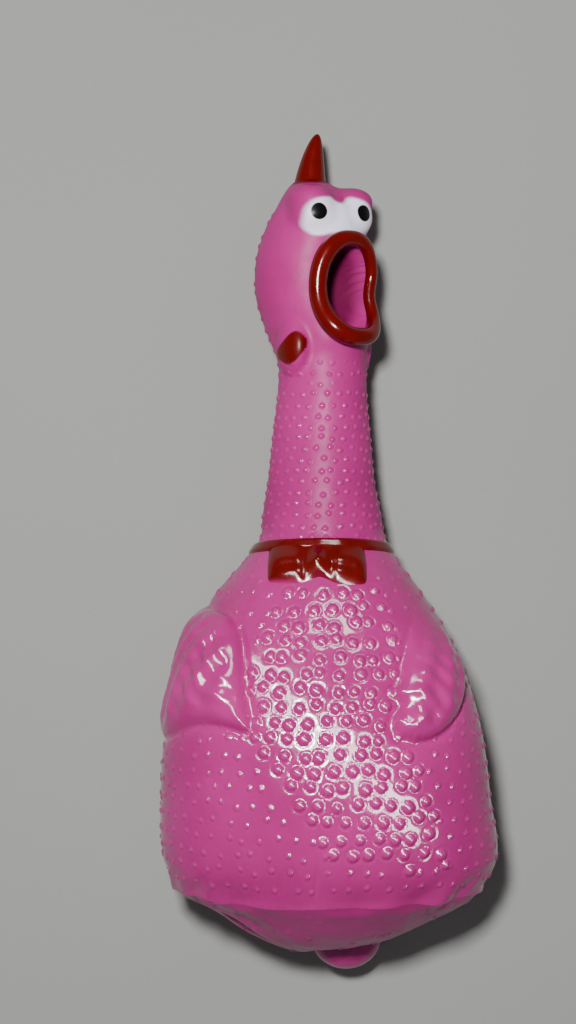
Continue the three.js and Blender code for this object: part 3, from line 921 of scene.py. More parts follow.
@dataclass
class Torso:
    """The body's skin with its wings and studs, and the rump under the crease."""

    form: Form
    place: Placer
    studs: Studs
    columns: int = 440
    rows: int = 224
    rump_rows: int = 70
    wing_height: float = 4.1
    squeeze_from: float = 40.5
    squeeze_to: float = 62.5
    degree: float = 0.64
    left_wing: tuple[tuple[float, float], ...] = (
        (-17, 168), (-17.6, 148), (-19.2, 134), (-24.5, 124.5), (-32, 121), (-38.7, 118.5), (-48.2, 113),
        (-45.8, 125), (-45.6, 140), (-48.2, 154), (-52, 182), (-50, 204), (-37, 208), (-24, 206),
        (-17.5, 190))
    right_wing: tuple[tuple[float, float], ...] = (
        (-15, 33), (-22, 50), (-30, 60), (-34, 63), (-38, 67.5), (-41, 64), (-44.5, 70), (-48.8, 68),
        (-50, 58), (-48, 47), (-44, 36), (-38, 24), (-30, 16), (-20, 14))
    big_rings: Place = (-8.6, -89, 4.6)
    small_rings: Place = (-5, -90, 4.6)
    belly_rows: tuple[float, ...] = (-88, -80, -66, -54, -39, -24, -10)
    belly_left: tuple[float, ...] = (14, 1, -11, -17, -22, -17, -12)
    belly_right: tuple[float, ...] = (30, 30, 27, 24, 18, 17, 12)
    tail_radii: Place = (10.0, 9.6, 8.0)

    def wing_relief(self, y: Array, angle: Array) -> tuple[Array, Array]:
        """Wing height over the skin: a quick rise at the outline, then a low dome; and how far inside.

        The outline is flat in y and in millimetres round the body, and the rise is 1 - exp(-d/1.5).
        The right wing's shoulder fades into the skin, and the left one's stands clear.

        Args:
            y: places along the body.
            angle: angles round it.

        Returns:
            The height over the skin, and the distance inside an outline.
        """
        flat = np.stack([y, np.degrees(angle) * self.degree], -1).reshape(-1, 2)
        height = np.zeros(len(flat))
        inside = np.full(len(flat), -9.0)
        for corners in (self.left_wing, self.right_wing):
            outline = rounded_outline([(a, b * self.degree) for a, b in corners])
            low, high = outline.min(0) - 5, outline.max(0) + 5
            near = ((flat > low) & (flat < high)).all(1)
            gap = outline_distance(flat[near], outline)
            rise = np.where(gap > 0, 1 - np.exp(-np.maximum(gap, 0) / 1.5), 0)
            dome = 0.72 + 0.28 * smooth(gap, 0, 9)
            along, over = flat[near].T
            shoulder = 0.1 + 0.9 * smooth(-along, 17, 36) if corners is self.right_wing else 1.0
            flank = 1 - 0.56 * smooth(np.abs(over - 90 * self.degree), 32, 56)
            folds = 0.4 * np.sin(over * 0.7 + 0.45 * along + 1.2 * np.sin(along * 0.23))
            weave = 1.6 * np.sin(over * 0.31 + 0.17 * along)
            folds += 0.22 * np.sin(along * 1.05 - over * 0.7 + weave) * flank**3
            folds *= smooth(gap, 1, 5)
            raised = (self.wing_height * dome * flank + folds) * rise * shoulder
            height[near] = np.maximum(height[near], raised)
            foot = -0.5 * bell(gap + 0.9, 0.9) * shoulder
            height[near] += np.where(gap < 0, foot, 0)
            inside[near] = np.maximum(inside[near], gap)
        return height.reshape(y.shape), inside.reshape(y.shape)

    def spread_angles(self) -> Array:
        """Angles round the body, closer together over the belly: t + 0.35 cos t."""
        t = np.linspace(0, 2 * math.pi, self.columns, endpoint=False)[None]
        return t + 0.35 * np.cos(t)

    def body_grid(self, start: float, end: float) -> dict[str, Array]:
        """The body's displaced points, with the masks they carry.

        Args:
            start: first place along the body.
            end: last place.

        Returns:
            The points, and the masks by name.
        """
        angle = self.spread_angles()
        y = np.linspace(start, end, self.rows)[:, None]
        y, angle = np.broadcast_arrays(y, angle)
        base = self.form.skin(y, angle)
        normal = grid_normals(base)
        if (normal[..., 2] * np.sin(angle)).mean() < 0:
            normal = -normal
        feet_big = self.studs.feet(self.form.skin, *self.big_rings, 1)
        feet_small = self.studs.feet(self.form.skin, *self.small_rings, 2)
        big = feet_big[self.belly_share(feet_big) > 0.5]
        small = feet_small[self.belly_share(feet_small) <= 0.42]
        big, small = (
            f[(f[:, 1] < -11.9) | (np.abs(f[:, 0] + 2.6) > 14.5) | (f[:, 2] < 25)] for f in (big, small)
        )
        feet = np.concatenate([big, small])
        sizes = np.array([StudZone.BELLY.value, StudZone.FLANK.value])
        zones = np.repeat(sizes, (len(big), len(small)), axis=0)
        radius, height = zones[:, 0].copy(), zones[:, 1].copy()
        rng = np.random.default_rng(11)
        radius *= rng.uniform(0.88, 1.12, len(radius))
        stud, share = self.studs.relief(base, feet, radius, height)
        wings, inside = self.wing_relief(y, angle)
        plain = 1 - 0.8 * smooth(inside, -1.2, 0.6)
        ground = smooth(base[..., 2], 0.4, 3.0)
        calm = smooth(-y, -3, 8)
        corner = smooth(np.abs(base[..., 0] - 2), 14, 36)
        crinkle = (0.22 + 0.3 * corner) * wrapped_noise(angle, y, 21) * smooth(-y, 82, 91)
        rim = 0.2 * bell(y - self.form.crease_y, 1.2)
        crumple = 0.24 * corner * wrapped_noise(angle, y * 2.5, 57, 12, 34) * smooth(-y, 80, 88)
        pinch = -0.6 * bell(base[..., 0] + 3.2, 0.5) * bell(y + 83, 3.2) * (np.sin(angle) > 0)
        relief = stud * plain * calm + crinkle + crumple + rim + pinch
        lift = relief * (0.1 + 0.9 * ground) + wings * ground
        points = base + normal * lift[..., None]
        ragged = 0.5 * wrapped_noise(angle, 0 * y, 41, 9) * smooth(-y, 83, 91)
        points[..., 1] += ragged
        points[..., 2] = np.maximum(points[..., 2], 0.0)
        return {"points": points, "stud": share * plain * ground,
                "soil": smooth(-y, 74, 91) * (0.2 + 0.8 * smooth(-base[..., 0], -10, 40)) * 0.45,
                "dry": 1 - smooth(base[..., 2], 14, 34)}

    def belly_share(self, feet: Array) -> Array:
        """1 where the big studs of the belly stand, 0 on the flanks: a leaning oval on the front.

        Args:
            feet: stud feet, n by 3.

        Returns:
            One share for each foot.
        """
        x, y, z = feet.T
        left = np.interp(y, self.belly_rows, self.belly_left)
        right = np.interp(y, self.belly_rows, self.belly_right)
        return smooth(np.minimum(x - left, right - x), -2.0, 2.0) * (z > 36) * (y > -82.5)

    def skin_body(self) -> bpy.types.Object:
        """Lays the body's skin.

        Returns:
            The piece.
        """
        made = self.body_grid(-1.5, self.form.crease_y)
        points = self.place(made["points"])
        masks = skin_values(points.shape[:2], **{k: made[k] for k in ("stud", "soil", "dry")})
        obj = lay_mesh("torso_skin", points, normals=outward(points), values=masks)
        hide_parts("torso_shell", "belly_wall", "belly_flex_ring", "wing_left", "wing_right")
        return obj

    def skin_rump(self) -> bpy.types.Object:
        """Lays the rump: radial wrinkles that die out towards the tail, and low studs.

        Returns:
            The piece.
        """
        angle = self.spread_angles()
        share = (np.linspace(0, 1, self.rump_rows) ** 0.9)[:, None]
        share, angle = np.broadcast_arrays(share, angle)
        base = self.form.rump(share, angle)
        normal = grid_normals(base)
        if normal[..., 1].mean() > 0:
            normal = -normal
        feet = self.rump_feet()
        radius = np.full(len(feet), StudZone.RUMP.radius)
        stud, top = self.studs.relief(base, feet, radius, np.full(len(feet), StudZone.RUMP.height))
        fold = wrapped_noise(angle, share * 30, 33, 9) * (1 - smooth(share, 0.35, 0.9))
        corner = smooth(np.abs(base[..., 0] - 2), 12, 34)
        fold = fold * (0.5 + 0.6 * corner)
        fine = wrapped_noise(angle, share * 60, 61, 12, 40) * (1 - smooth(share, 0.15, 0.6))
        fold += (0.1 + 0.35 * corner) * fine
        tuck = 0.3 * bell(share - 0.06, 0.05)
        ground = smooth(base[..., 2], 0.2, 3.0)
        lift = ((0.55 * fold + tuck) * smooth(share, 0.0, 0.05) + stud) * ground
        points = base + normal * lift[..., None]
        body = self.body_grid(-1.5, self.form.crease_y)["points"][-1]
        near = (1 - smooth(share, 0.0, 0.06))[..., None]
        points = points + (body - points[0])[None] * near
        points[..., 2] = np.maximum(points[..., 2], 0.0)
        points[-1] = points[-1].mean(axis=0)
        world = self.place(points)
        soil = 0.15 - 0.1 * smooth(share, 0.2, 0.9)
        dry = np.full(share.shape, 0.7)
        masks = skin_values(world.shape[:2], stud=top * ground, soil=soil, dry=dry)
        obj = lay_mesh("rump_skin", world, values=masks)
        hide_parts("rump_panel")
        return obj

    def rump_feet(self) -> Array:
        """Stud feet on rings of the rump, fewer as the rings shrink.

        Returns:
            Feet, n by 3.
        """
        rng = np.random.default_rng(7)
        rings = np.arange(0.12, 0.85, 0.1)
        return np.concatenate([self.studs.ring_of(self.form.rump, at, 4.6, k % 2 == 1, rng)
                               for k, at in enumerate(rings)])

    def skin_tail(self) -> bpy.types.Object:
        """Lays the tail: a flattened lobe, |sin| profile round its axis, with two shallow furrows.

        Returns:
            The piece.
        """
        u = np.linspace(0, math.pi, 60)[:, None]
        v = np.linspace(0, 2 * math.pi, 120, endpoint=False)[None]
        low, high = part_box("tail_nub")
        low, high = np.array(low) / MM - self.place.offset, np.array(high) / MM - self.place.offset
        middle = (low[0] + high[0]) / 2
        centre = np.array([middle, self.form.rump_pole[1] + 2.5, self.form.rump_pole[2] - 1])
        dent = 1 - 0.045 * bell(np.cos(v) + 0.32, 0.12) - 0.04 * bell(np.cos(v) - 0.3, 0.12)
        across, along, deep = self.tail_radii
        x = across * np.sin(u) * np.cos(v) * dent
        z = deep * np.sin(u) * np.sin(v) * dent
        y = -along * np.cos(u) * np.ones_like(v)
        points = np.stack([x, y, z], -1) + centre
        world = self.place(points)
        masks = skin_values(world.shape[:2], soil=np.full(world.shape[:2], 0.5))
        obj = lay_mesh("tail_skin", world, values=masks)
        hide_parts("tail_nub")
        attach(obj, "torso")
        return obj

    def build(self, skin: bpy.types.Material) -> list[bpy.types.Object]:
        """Builds and dresses the three pieces, the tail hung on the torso and the first two baked in place.

        Args:
            skin: the vinyl.

        Returns:
            The three pieces.
        """
        pieces = [self.skin_body(), self.skin_rump(), self.skin_tail()]
        start = self.place.at(0, -60, self.squeeze_from)
        end = self.place.at(0, -60, self.squeeze_to)
        for obj in pieces:
            obj.data.materials.append(skin)
        for obj in pieces[:2]:
            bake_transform(obj)
        return pieces


def outward(points: Array) -> Array:
    """Grid normals turned to point away from the grid's own middle line.

    Args:
        points: rows by columns by 3.

    Returns:
        Unit normals of the same shape.
    """
    normal = grid_normals(points)
    away = points - points.mean(axis=1, keepdims=True)
    return normal if (normal * away).sum() > 0 else -normal


@dataclass
class Neck:
    """The neck's skin in three lengths."""

    form: Form
    place: Placer
    studs: Studs
    columns: int = 260
    step: float = 0.36
    cuts: tuple[float, float, float, float] = (-2.5, 15.5, 29.5, 43.5)

    def build(self, skin: bpy.types.Material) -> list[bpy.types.Object]:
        """Works the whole neck out once, then lays its three lengths with shared seams and normals.

        Args:
            skin: the vinyl.

        Returns:
            The three lengths, from the collar up.
        """
        first, last = self.cuts[0], self.cuts[-1]
        y = np.arange(first - self.step, last + 2 * self.step, self.step)[:, None]
        y = y + (last - y[np.abs(y - last).argmin()])
        angle = np.linspace(0, 2 * math.pi, self.columns, endpoint=False)[None]
        y, angle = np.broadcast_arrays(y, angle)
        base = self.form.throat_and_head(y, angle)
        normal = outward(base)
        feet = self.studs.feet(self.form.throat_and_head, 1.5, 43, 3.3, 5)
        radius = np.full(len(feet), StudZone.NECK.radius)
        stud, top = self.studs.relief(base, feet, radius, np.full(len(feet), StudZone.NECK.height))
        fade = 1 - smooth(y, 40, 43.3)
        points = self.place(base + normal * (stud * fade)[..., None])
        shade = outward(points)
        spans = list(zip(self.cuts[:-1], self.cuts[1:]))
        across = (("torso", "neck_lower", 0.5, 13.0), ("neck_lower", "neck_upper", 17.0, 29.0),
                  ("neck_upper", "head", 30.5, 43.0))
        hides = (("neck_flex_lower",), ("neck_lower_shell", "neck_flex_middle"),
                 ("neck_upper_shell", "neck_flex_upper"))
        made = []
        for k, (low, high) in enumerate(spans):
            a, b = (int(np.abs(y[:, 0] - v).argmin()) for v in (low, high))
            part = slice(a, b + 1)
            dry = smooth(y, -3, 6) * (1 - 0.95 * smooth(top * fade, 0.05, 0.5))
            masks = skin_values(points[part].shape[:2], stud=(top * fade)[part], dry=dry[part])
            obj = lay_mesh(f"neck_skin_{k + 1}", points[part], normals=shade[part], values=masks)
            obj.data.materials.append(skin)
            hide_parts(*hides[k])
            body, child, start, end = across[k]
            self.place.at(0, start, self.form.spine_z)
            self.place.at(0, end, self.form.spine_z)
            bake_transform(obj)
            made.append(obj)
        return made


@dataclass
class Head:
    """The head's skin with its brows, eyes, wattles and open mouth, and the comb and lips on it."""

    form: Form
    place: Placer
    studs: Studs
    columns: int = 280
    rows: int = 230
    eye: Place = (6.0, 86.9, 3.6)
    eye_radii: Place = (6.3, 5.7, 6.3)
    brow: Place = (7.0, 91.5, 2.8)
    brow_shift: float = 0.4
    brow_radii: Place = (5.4, 3.6, 5.9)
    wattle: Place = (10.7, 51.8, 1.6)
    wattle_shift: float = -0.9
    wattle_radii: Place = (3.0, 6.8, 5.6)
    comb_root: Place = (0.0, 90.5, -6.0)
    comb_root_radii: Place = (6.4, 8.0, 6.4)
    comb_radius: float = 5.1
    mouth: Place = (0.0, 67.2, 12.0)
    mouth_radii: Place = (8.4, 12.5, 17.5)
    pupils: tuple[tuple[float, float, float], ...] = ((-8.1, 87.3, 9.2), (6.5, 87.7, 9.3))
    pupil_radius: float = 2.25

    def lip_path(self, count: int = 160) -> Array:
        """The lips' middle line: an oval, arched forward at top and bottom and pinched on its far side.

        Args:
            count: how many points.

        Returns:
            Points in the head's frame, n by 3.
        """
        a = np.linspace(0, 2 * math.pi, count, endpoint=False)
        c, s = np.cos(a), np.sin(a)
        pinch = 1 - 0.13 * bell(s + 0.1, 0.3) * (c > 0)
        forward = np.where(s > 0, 12.6, 15.6) - 9.9
        x = 9.1 * np.where(s > 0, signed_power(c, 0.86), signed_power(c, 0.72)) * pinch
        return np.stack([x, 67.3 + 13.1 * signed_power(s, 0.92), 9.9 + forward * s * s], -1)

    def lip_distance(self, p: Array) -> Array:
        """Distance from points to the lips' middle line, taken as straight pieces; far points get 9.

        Args:
            p: points in the head's frame.

        Returns:
            A distance for each point.
        """
        a = self.lip_path(40)
        side = np.roll(a, -1, axis=0) - a
        out = np.full(p.shape[:-1], 9.0)
        near = (p[..., 2] > 2) & (np.abs(p[..., 1] - self.mouth[1]) < 19)
        q = p[near]
        least = np.full(len(q), 9.0)
        for start, way in zip(a, side):
            share = np.clip((q - start) @ way / (way @ way), 0, 1)[:, None]
            least = np.minimum(least, np.linalg.norm(q - start - share * way, axis=1))
        out[near] = least
        return out

    def brow_distance(self, p: Array, side: int) -> Array:
        """Signed distance from points to the brow on one side, -1 or 1.

        Args:
            p: points in the head's frame.
            side: -1 or 1.

        Returns:
            A distance for each point.
        """
        centre = (side * self.brow[0] + self.brow_shift, *self.brow[1:])
        return ellipsoid_distance(p, centre, self.brow_radii)

    def features(self, p: Array, t: Array) -> Array:
        """Signed distance to the whole head, for points p that stand t outside its plain form.

        The plain form and each feature are smooth-joined, and the mouth's ellipsoid is cut out.

        Args:
            p: points in the head's frame.
            t: how far each stands outside the plain form.

        Returns:
            A distance for each point, negative inside.
        """
        x, y, z = self.eye
        whole = t
        for side in (-1, 1):
            whole = join(whole, ellipsoid_distance(p, (side * x, y, z), self.eye_radii), 1.4)
            whole = join(whole, self.brow_distance(p, side), 2.6)
            hang = (side * self.wattle[0] + self.wattle_shift, *self.wattle[1:])
            whole = join(whole, ellipsoid_distance(p, hang, self.wattle_radii), 2.2)
        whole = join(whole, ellipsoid_distance(p, self.comb_root, self.comb_root_radii), 4.0)
        whole = join(whole, self.lip_distance(p) - 1.0, 2.4)
        hole = ellipsoid_distance(p, self.mouth, self.mouth_radii)
        return cut(whole, hole, 1.2)

    def base_grid(self) -> tuple[Array, Array]:
        """Plain head points in the toy's frame, with rows evenly spaced over the crown, and angles.

        Returns:
            The points and their angles.
        """
        fine = np.concatenate([np.linspace(43.5, 93, 400), 96.4 - 3.4 * np.linspace(1, 0, 200) ** 2.0])
        fine = np.unique(fine)
        depth = hermite(self.form.head, 3, fine)
        depth[-1] = 0.0
        length = np.concatenate([[0], np.cumsum(np.hypot(np.diff(fine), np.diff(depth)))])
        rows = np.interp(np.linspace(0, length[-1], self.rows), length, fine)
        rows = np.concatenate([[43.5 - 0.36], rows])
        angle = np.linspace(0, 2 * math.pi, self.columns, endpoint=False)
        y, angle = np.broadcast_arrays(rows[:, None], angle[None])
        return self.form.throat_and_head(y, angle), angle

    def skin(self) -> bpy.types.Object:
        """Walks each point in along its normal until it meets the head's signed distance of zero.

        Returns:
            The piece.
        """
        base, angle = self.base_grid()
        base[-1] = base[-1].mean(axis=0)
        normal = outward(base)
        t = np.full(base.shape[:2], 10.0)
        for _ in range(90):
            local = self.form.to_local(base + normal * t[..., None])
            t = t - 0.8 * self.features(local, t)
            t = np.maximum(t, -14.0)
        y = base[..., 1]
        quiet = smooth(y, 43.5, 44.5)
        t = t * quiet
        nape = np.maximum(smooth(-np.sin(angle + self.form.turn), 0.3, 0.6), 1 - smooth(y, 46, 49))
        back = nape * smooth(92 - y, 0, 5)
        feet = self.studs.feet(self.form.throat_and_head, 44.5, 92, 3.6, 6)
        radius = np.full(len(feet), StudZone.NECK.radius)
        bump, _ = self.studs.relief(base, feet, radius, np.full(len(feet), StudZone.NECK.height))
        points = base + normal * (t + bump * back * quiet)[..., None]
        points[..., 2] = np.maximum(points[..., 2], 0.0)
        local = self.form.to_local(points)
        deep = (1 - smooth(ellipsoid_distance(local, self.mouth, self.mouth_radii), 0.1, 0.6))[..., None]
        deep = deep * (1 - smooth(local[..., 2], 6.0, 9.0))[..., None]
        for _ in range(24):
            around = sum(np.roll(points, step, axis) for axis in (1, 0) for step in (1, -1)) / 4
            points = points * (1 - deep) + around * deep
        local = self.form.to_local(points)
        masks = self.masks(local, t)
        world = self.place(points)
        shade = outward(world)[1:]
        world = world[1:]
        masks = {k: v[1:] for k, v in masks.items()}
        obj = lay_mesh("head_skin", world, normals=shade, values=skin_values(world.shape[:2], **masks))
        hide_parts("head_shell", "brow_left", "brow_right", "eye_white_left", "eye_white_right",
                    "pupil_left", "pupil_right", "wattle_left", "wattle_right", "wattle_patch_left",
                    "wattle_patch_right")
        return obj

    def masks(self, p: Array, t: Array) -> dict[str, Array]:
        """Where the paint lies: sprayed soft under the eyes, sharp at the brows, pupils and patches; and
        the painted shade inside the mouth, darker deeper in.

        Args:
            p: the skin's points in the head's own frame.
            t: how far each stands off the plain form.

        Returns:
            The vinyl's masks by name.
        """
        _, y, z = self.eye
        eyes = np.minimum(*(ellipsoid_distance(p, (s * 5.5 - 0.3, y - 0.5, z + 1.3), (5.4, 5.8, 6.6))
                            for s in (-1, 1)))
        bridge = ellipsoid_distance(p, (0.0, y - 1.4, z + 4.8), (6.0, 4.0, 5.2))
        brows = np.minimum(self.brow_distance(p, -1), self.brow_distance(p, 1))
        sprayed = join(eyes, bridge, 1.6)
        low = smooth(p[..., 1] - 0.12 * p[..., 0] + 1.2 * smooth(-p[..., 0], 4, 9), 80.4, 83.0)
        white = (1 - smooth(sprayed, -0.1, 0.9)) * low * smooth(brows, 0.25, 0.6)
        pupil = np.full(t.shape, 9.0)
        for centre in self.pupils:
            pupil = np.minimum(pupil, np.linalg.norm(p - np.array(centre), axis=-1) - self.pupil_radius)
        inside = ellipsoid_distance(p, self.mouth, self.mouth_radii)
        # painted shade: the mouth's inside darkens towards the throat colour, more so deeper in
        mouth = (1 - smooth(inside, 0.1, 0.9)) * smooth(9.5 - p[..., 2], 0, 5)
        patch = np.zeros(t.shape)
        for s in (-1, 1):
            u = -s * p[..., 0] * math.cos(self.form.turn) + p[..., 2] * math.sin(self.form.turn) + 8.3
            v = p[..., 1] - 51.4
            slant = (0.646, 0.763)
            along, across = u * slant[0] + v * slant[1], v * slant[0] - u * slant[1]
            box = (np.abs(along / 4.5) ** 3.2 + np.abs(across / 3.0) ** 3.2) ** (1 / 3.2)
            on_wattle = (s * p[..., 0] > 4) & (p[..., 2] > -7)
            patch = np.maximum(patch, (1 - smooth(box, 0.94, 1.03)) * on_wattle)
        comb = np.linalg.norm((p - np.array([0, 94, -6.0])) * np.array([1, 0, 1]), axis=-1)
        return {
            "white": white,
            "pupil": pupil,
            "mouth": mouth,
            "patch": patch,
            "dry": 1 - 0.3 * patch - 0.3 * white,
            "reddened": smooth(p[..., 1], 95.4, 96.8) * (1 - smooth(comb, 5.8, 6.8)),
        }

    def comb(self) -> bpy.types.Object:
        """Lays the comb: circles of radius 5.1 (1 - t)^0.5, so rounded at the tip, on a leaning line.

        Returns:
            The piece.
        """
        t = 1 - (1 - np.linspace(0, 1, 70)[:, None]) ** 1.6
        a = np.linspace(0, 2 * math.pi, 72, endpoint=False)[None]
        radius = self.comb_radius * np.sqrt(np.clip(1 - t, 0, 1))
        lean = 1.2 * t**2
        x = radius * np.cos(a) + lean
        z = -6.2 + 2.0 * t**2 + radius * np.sin(a)
        y = 91.2 + 18.9 * t + 0 * a
        points = self.form.to_world(np.stack([x, y, z], -1))
        world = self.place(points)
        obj = lay_mesh("comb", world, values={"overspray": 1 - smooth(y, 95.4, 96.8)})
        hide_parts("comb_spike")
        return obj

    def lips(self) -> bpy.types.Object:
        """Lays the lips: a tube round their middle line, thicker on the near side and underneath.

        Returns:
            The piece.
        """
        path = self.lip_path()
        a = np.linspace(0, 2 * math.pi, len(path), endpoint=False)
        radius = 1.95 + 0.55 * bell(np.cos(a) + 0.8, 0.6) + 0.35 * bell(np.sin(a) + 0.95, 0.4)
        radius -= 0.35 * bell(np.cos(a) - 1.0, 0.5)
        points = tube(path, radius, 48, np.array([0, 67.2, 9.9]))
        closed = np.concatenate([points, points[:1]])
        world = self.place(self.form.to_world(closed))
        obj = lay_mesh("lips", world, values={"overspray": np.zeros(world.shape[:2])})
        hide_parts("lip_ring")
        return obj

    def build(self, skin: bpy.types.Material, red: bpy.types.Material) -> list[bpy.types.Object]:
        """Builds and dresses the three pieces and hangs them on the head.

        Args:
            skin: the vinyl.
            red: the red paint.

        Returns:
            The three pieces.
        """
        pieces = [self.skin(), self.comb(), self.lips()]
        for obj, finish, slot in zip(pieces, (skin, red, red), ("pink_vinyl", "red_paint", "red_paint")):
            obj.data.materials.append(finish)
            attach(obj, "head")
        return pieces


@dataclass
class Collar:
    """The painted collar band and the bow moulded on its front."""

    form: Form
    place: Placer
    top: float = -0.2
    bottom: float = -3.3
    lift_front: float = 1.7
    thick: float = 0.7
    bow_middle: float = -2.8
    bow_half: float = 12.9

    def band(self) -> bpy.types.Object:
        """Lays the band: the skin's ring lifted by thick * (1 - s^4)^(1/2), s from edge to edge.

        Returns:
            The piece.
        """
        s = np.linspace(-1, 1, 28)[:, None]
        angle = np.linspace(0, 2 * math.pi, 240, endpoint=False)[None]
        s, angle = np.broadcast_arrays(s, angle)
        y = (self.top + self.bottom) / 2 - s * (self.top - self.bottom) / 2
        base = self.form.skin(y + self.lift_front * np.sin(angle), angle)
        normal = outward(base)
        lift = -0.5 + (self.thick + 0.5) * np.clip(1 - np.abs(s) ** 4, 0, 1) ** 0.5
        lift += 0.07 * wrapped_noise(angle, y, 5)
        points = base + normal * lift[..., None]
        points[..., 2] = np.maximum(points[..., 2], 0.3)
        world = self.place(points)
        obj = lay_mesh("collar_band_paint", world, normals=outward(world),
                       values={"overspray": smooth(np.abs(s), 0.9, 1.0) * 0.1})
        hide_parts("collar_band")
        return obj

    def bow(self) -> bpy.types.Object:
        """Lays the bow as relief over the front: two ridged loops that draw in to a knot.

        u runs across from -1 to 1 and v down from 0 to 1. Each loop is a pillow that rises out of the
        band and rounds off below the middle as 1 - w^2, with one furrow along it. The knot is a smaller
        pillow over them, and the rim dips under the skin.

        Returns:
            The piece.
        """
        u = np.linspace(-1, 1, 240)[None]
        v = np.linspace(0, 1, 100)[:, None]
        u, v = np.broadcast_arrays(u, v)
        x = self.bow_middle + self.bow_half * u * (1 + 0.03 * v)
        waist = bell(u - 0.04, 0.22)
        floor_ = -11.0 + 2.0 * waist - 0.4 * smooth(u, 0.2, 0.9)
        y = 0.7 + v * (floor_ - 0.7)
        base = np.stack([x, y, self.form.front(x, y)], -1)
        normal = grid_normals(base, wraps=False)
        if normal[..., 2].mean() < 0:
            normal = -normal
        out = smooth(np.abs(u), 0.16, 0.42)
        pillow = 1.6 * (1 - np.clip((v - 0.45) / 0.55, 0, 1) ** 2) * (0.45 + 0.55 * out)
        furrow = -0.5 * bell(v - 0.6 - 0.1 * (np.abs(u) - 0.5), 0.11) * smooth(np.abs(u), 0.2, 0.4)
        furrow *= 1 - smooth(np.abs(u), 0.62, 0.85)
        knot = 1.5 * bell(u - 0.02, 0.14) * np.clip(1 - np.abs(2 * v - 1.15) ** 3, 0, 1)
        neck = -0.45 * bell(np.abs(u - 0.02) - 0.27, 0.07) * (1 - np.abs(2 * v - 1) ** 2)
        side, below = (1 - np.abs(u)) * self.bow_half, (1 - v) * 10.0
        rim = np.clip(side * below / (side + below + 1e-6) / 3.2, 0, 1)
        rim = np.sqrt(1 - (1 - rim) ** 2)
        full = 1.2 + 0.5 + (0.2 + pillow + furrow + knot + neck) * smooth(v, 0.0, 0.66)
        lift = -1.2 + rim * full
        points = base + normal * lift[..., None]
        world = self.place(points)
        wet = smooth(v, 0.84, 0.97) * (0.15 + 0.75 * smooth(-u, 0.0, 0.6))
        shade = grid_normals(world, wraps=False)
        shade = shade if shade[..., 2].mean() > 0 else -shade
        masks = {"overspray": np.clip(wet, 0, 0.85)}
        obj = lay_mesh("bow", world, wraps=False, normals=shade, values=masks)
        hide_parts("bow_loop_left", "bow_loop_right", "bow_knot")
        return obj

    def build(self, red: bpy.types.Material) -> list[bpy.types.Object]:
        """Builds and dresses both and hangs them on the torso.

        Args:
            red: the red paint.

        Returns:
            The two pieces.
        """
        pieces = [self.band(), self.bow()]
        for obj in pieces:
            obj.data.materials.append(red)
            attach(obj, "torso")
        return pieces


@dataclass
class Squeaker:
    """The reed unit in the throat, whose frame pieces already have the right shape."""

    frame: dict
    moulded: tuple[str, ...] = ("squeaker_housing", "squeaker_grille", "reed_block", "reed_wedge")

    def build(self) -> list[bpy.types.Object]:
        """Gives the frame's own pieces their finishes.

        Returns:
            The frame's pieces, with their finishes.
        """
        body = Polystyrene("polystyrene_moulded_ivory", "#E9E4D4", "#DDD6C2", 0.42).make()
        film = Polystyrene("polystyrene_film_reed", "#DCE2E6", "#CBD3DA", 0.16).make()
        made = []
        for name in (*self.moulded, "reed_tongue"):
            obj = self.frame["nodes"][name]
            obj.data.materials.clear()
            obj.data.materials.append(film if name == "reed_tongue" else body)
            made.append(obj)
        return made


@dataclass(frozen=True)
class Softbox:
    """One rectangular softbox: metres, watts, and degrees of roll about its own axis.

    With shine_on set, it is linked to those pieces alone and shows only as a shine on them.
    """

    name: str
    place: tuple[float, float, float]
    aim: tuple[float, float, float]
    size: tuple[float, float]
    power: float
    roll: float = 0.0
    shine_on: tuple[str, ...] = ()

    def hang(self) -> None:
        """Hangs the softbox at its place, facing its aim."""
        data = bpy.data.lights.new(self.name, "AREA")
        data.shape = "RECTANGLE"
        data.size, data.size_y = self.size
        data.energy = self.power
        obj = bpy.data.objects.new(self.name, data)
        obj.location = self.place
        way = Vector(self.aim) - Vector(self.place)
        facing = way.to_track_quat("-Z", "Y").to_matrix()
        obj.rotation_euler = (facing @ Matrix.Rotation(math.radians(self.roll), 3, "Z")).to_euler()
        bpy.context.scene.collection.objects.link(obj)
        if self.shine_on:
            lit = bpy.data.collections.new(self.name)
            for piece in self.shine_on:
                lit.objects.link(bpy.data.objects[piece])
            obj.light_linking.receiver_collection = lit
            obj.visible_diffuse = False


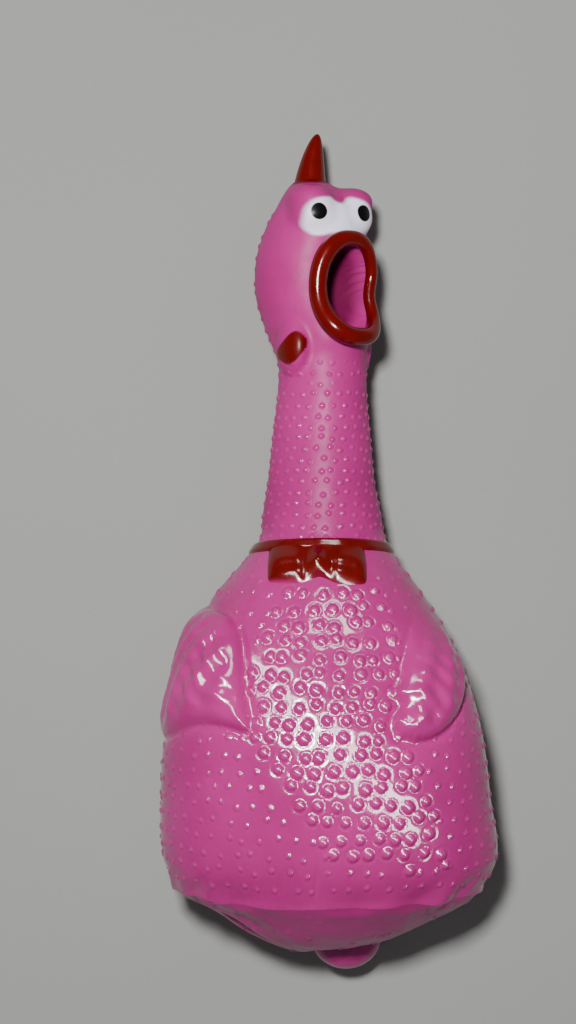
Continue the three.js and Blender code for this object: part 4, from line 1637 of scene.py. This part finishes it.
@dataclass
class Studio:
    """A pale floor, a soft key, two long shines over the belly, a dim surround, and the camera overhead."""

    place: Placer
    camera_height: float = 0.65
    sight: tuple[float, float] = (-10.37, 8.13)
    lens: float = 82.7
    surround: tuple[float, float, float, float] = (0.75, 0.77, 0.8, 1)
    surround_strength: float = 0.22
    lights: tuple[Softbox, ...] = (
        Softbox("key", (-0.075, 0.13, 0.62), (0.0, 0.0, 0.03), (0.07, 0.07), 6.0),
        Softbox("strip", (-0.026, 0.134, 0.62), (-0.026, 0.1341, 0.0), (1.6, 0.13), 29.0, -36.4,
                ("torso_skin", "rump_skin", "bow", "collar_band_paint")),
        Softbox("far", (0.07, 0.68, 0.56), (0.0, -0.02, 0.05), (0.3, 0.16), 4.0, 0.0,
                ("torso_skin", "bow", "collar_band_paint")),
    )

    def floor(self) -> None:
        """Lays a plain pale floor."""
        side = np.linspace(-1.5, 1.5, 2)
        x, y = np.meshgrid(side, side)
        obj = lay_mesh("floor", np.stack([x, y, np.full_like(x, -0.0004)], -1), wraps=False)
        obj.data.materials.append(FloorPaint().make())

    def camera(self) -> None:
        """Sets the camera straight above, looking down with the comb at the top of the frame."""
        data = bpy.data.cameras.new("overhead")
        data.lens = self.lens
        data.clip_start = 0.01
        obj = bpy.data.objects.new("overhead", data)
        obj.location = self.place.at(*self.sight, self.camera_height / MM)
        bpy.context.scene.collection.objects.link(obj)
        bpy.context.scene.camera = obj

    def build(self) -> None:
        """Sets up the floor, the lights, the surround and the camera."""
        self.floor()
        for softbox in self.lights:
            softbox.hang()
        world = bpy.data.worlds.new("studio")
        world.use_nodes = True
        background = world.node_tree.nodes["Background"]
        background.inputs["Color"].default_value = self.surround
        background.inputs["Strength"].default_value = self.surround_strength
        bpy.context.scene.world = world
        self.camera()


def main() -> None:
    """Builds every sub-assembly in order."""
    logging.basicConfig(level=logging.INFO, format="%(message)s")
    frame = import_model()
    form = Form()
    place = Placer(form)
    studs = Studs(form)
    skin = Vinyl().make()
    red = SprayedPaint("vinyl_paint_gloss_red", "#5A0301", "#6C0603").make()
    made = Torso(form, place, studs).build(skin)
    made += Neck(form, place, studs).build(skin)
    made += Head(form, place, studs).build(skin, red)
    made += Collar(form, place).build(red)
    made += Squeaker(frame).build()
    for obj in made:
        log.info("%s: %d points, %d faces", obj.name, len(obj.data.vertices), len(obj.data.polygons))
    Studio(place).build()


if __name__ == "__main__":
    main()
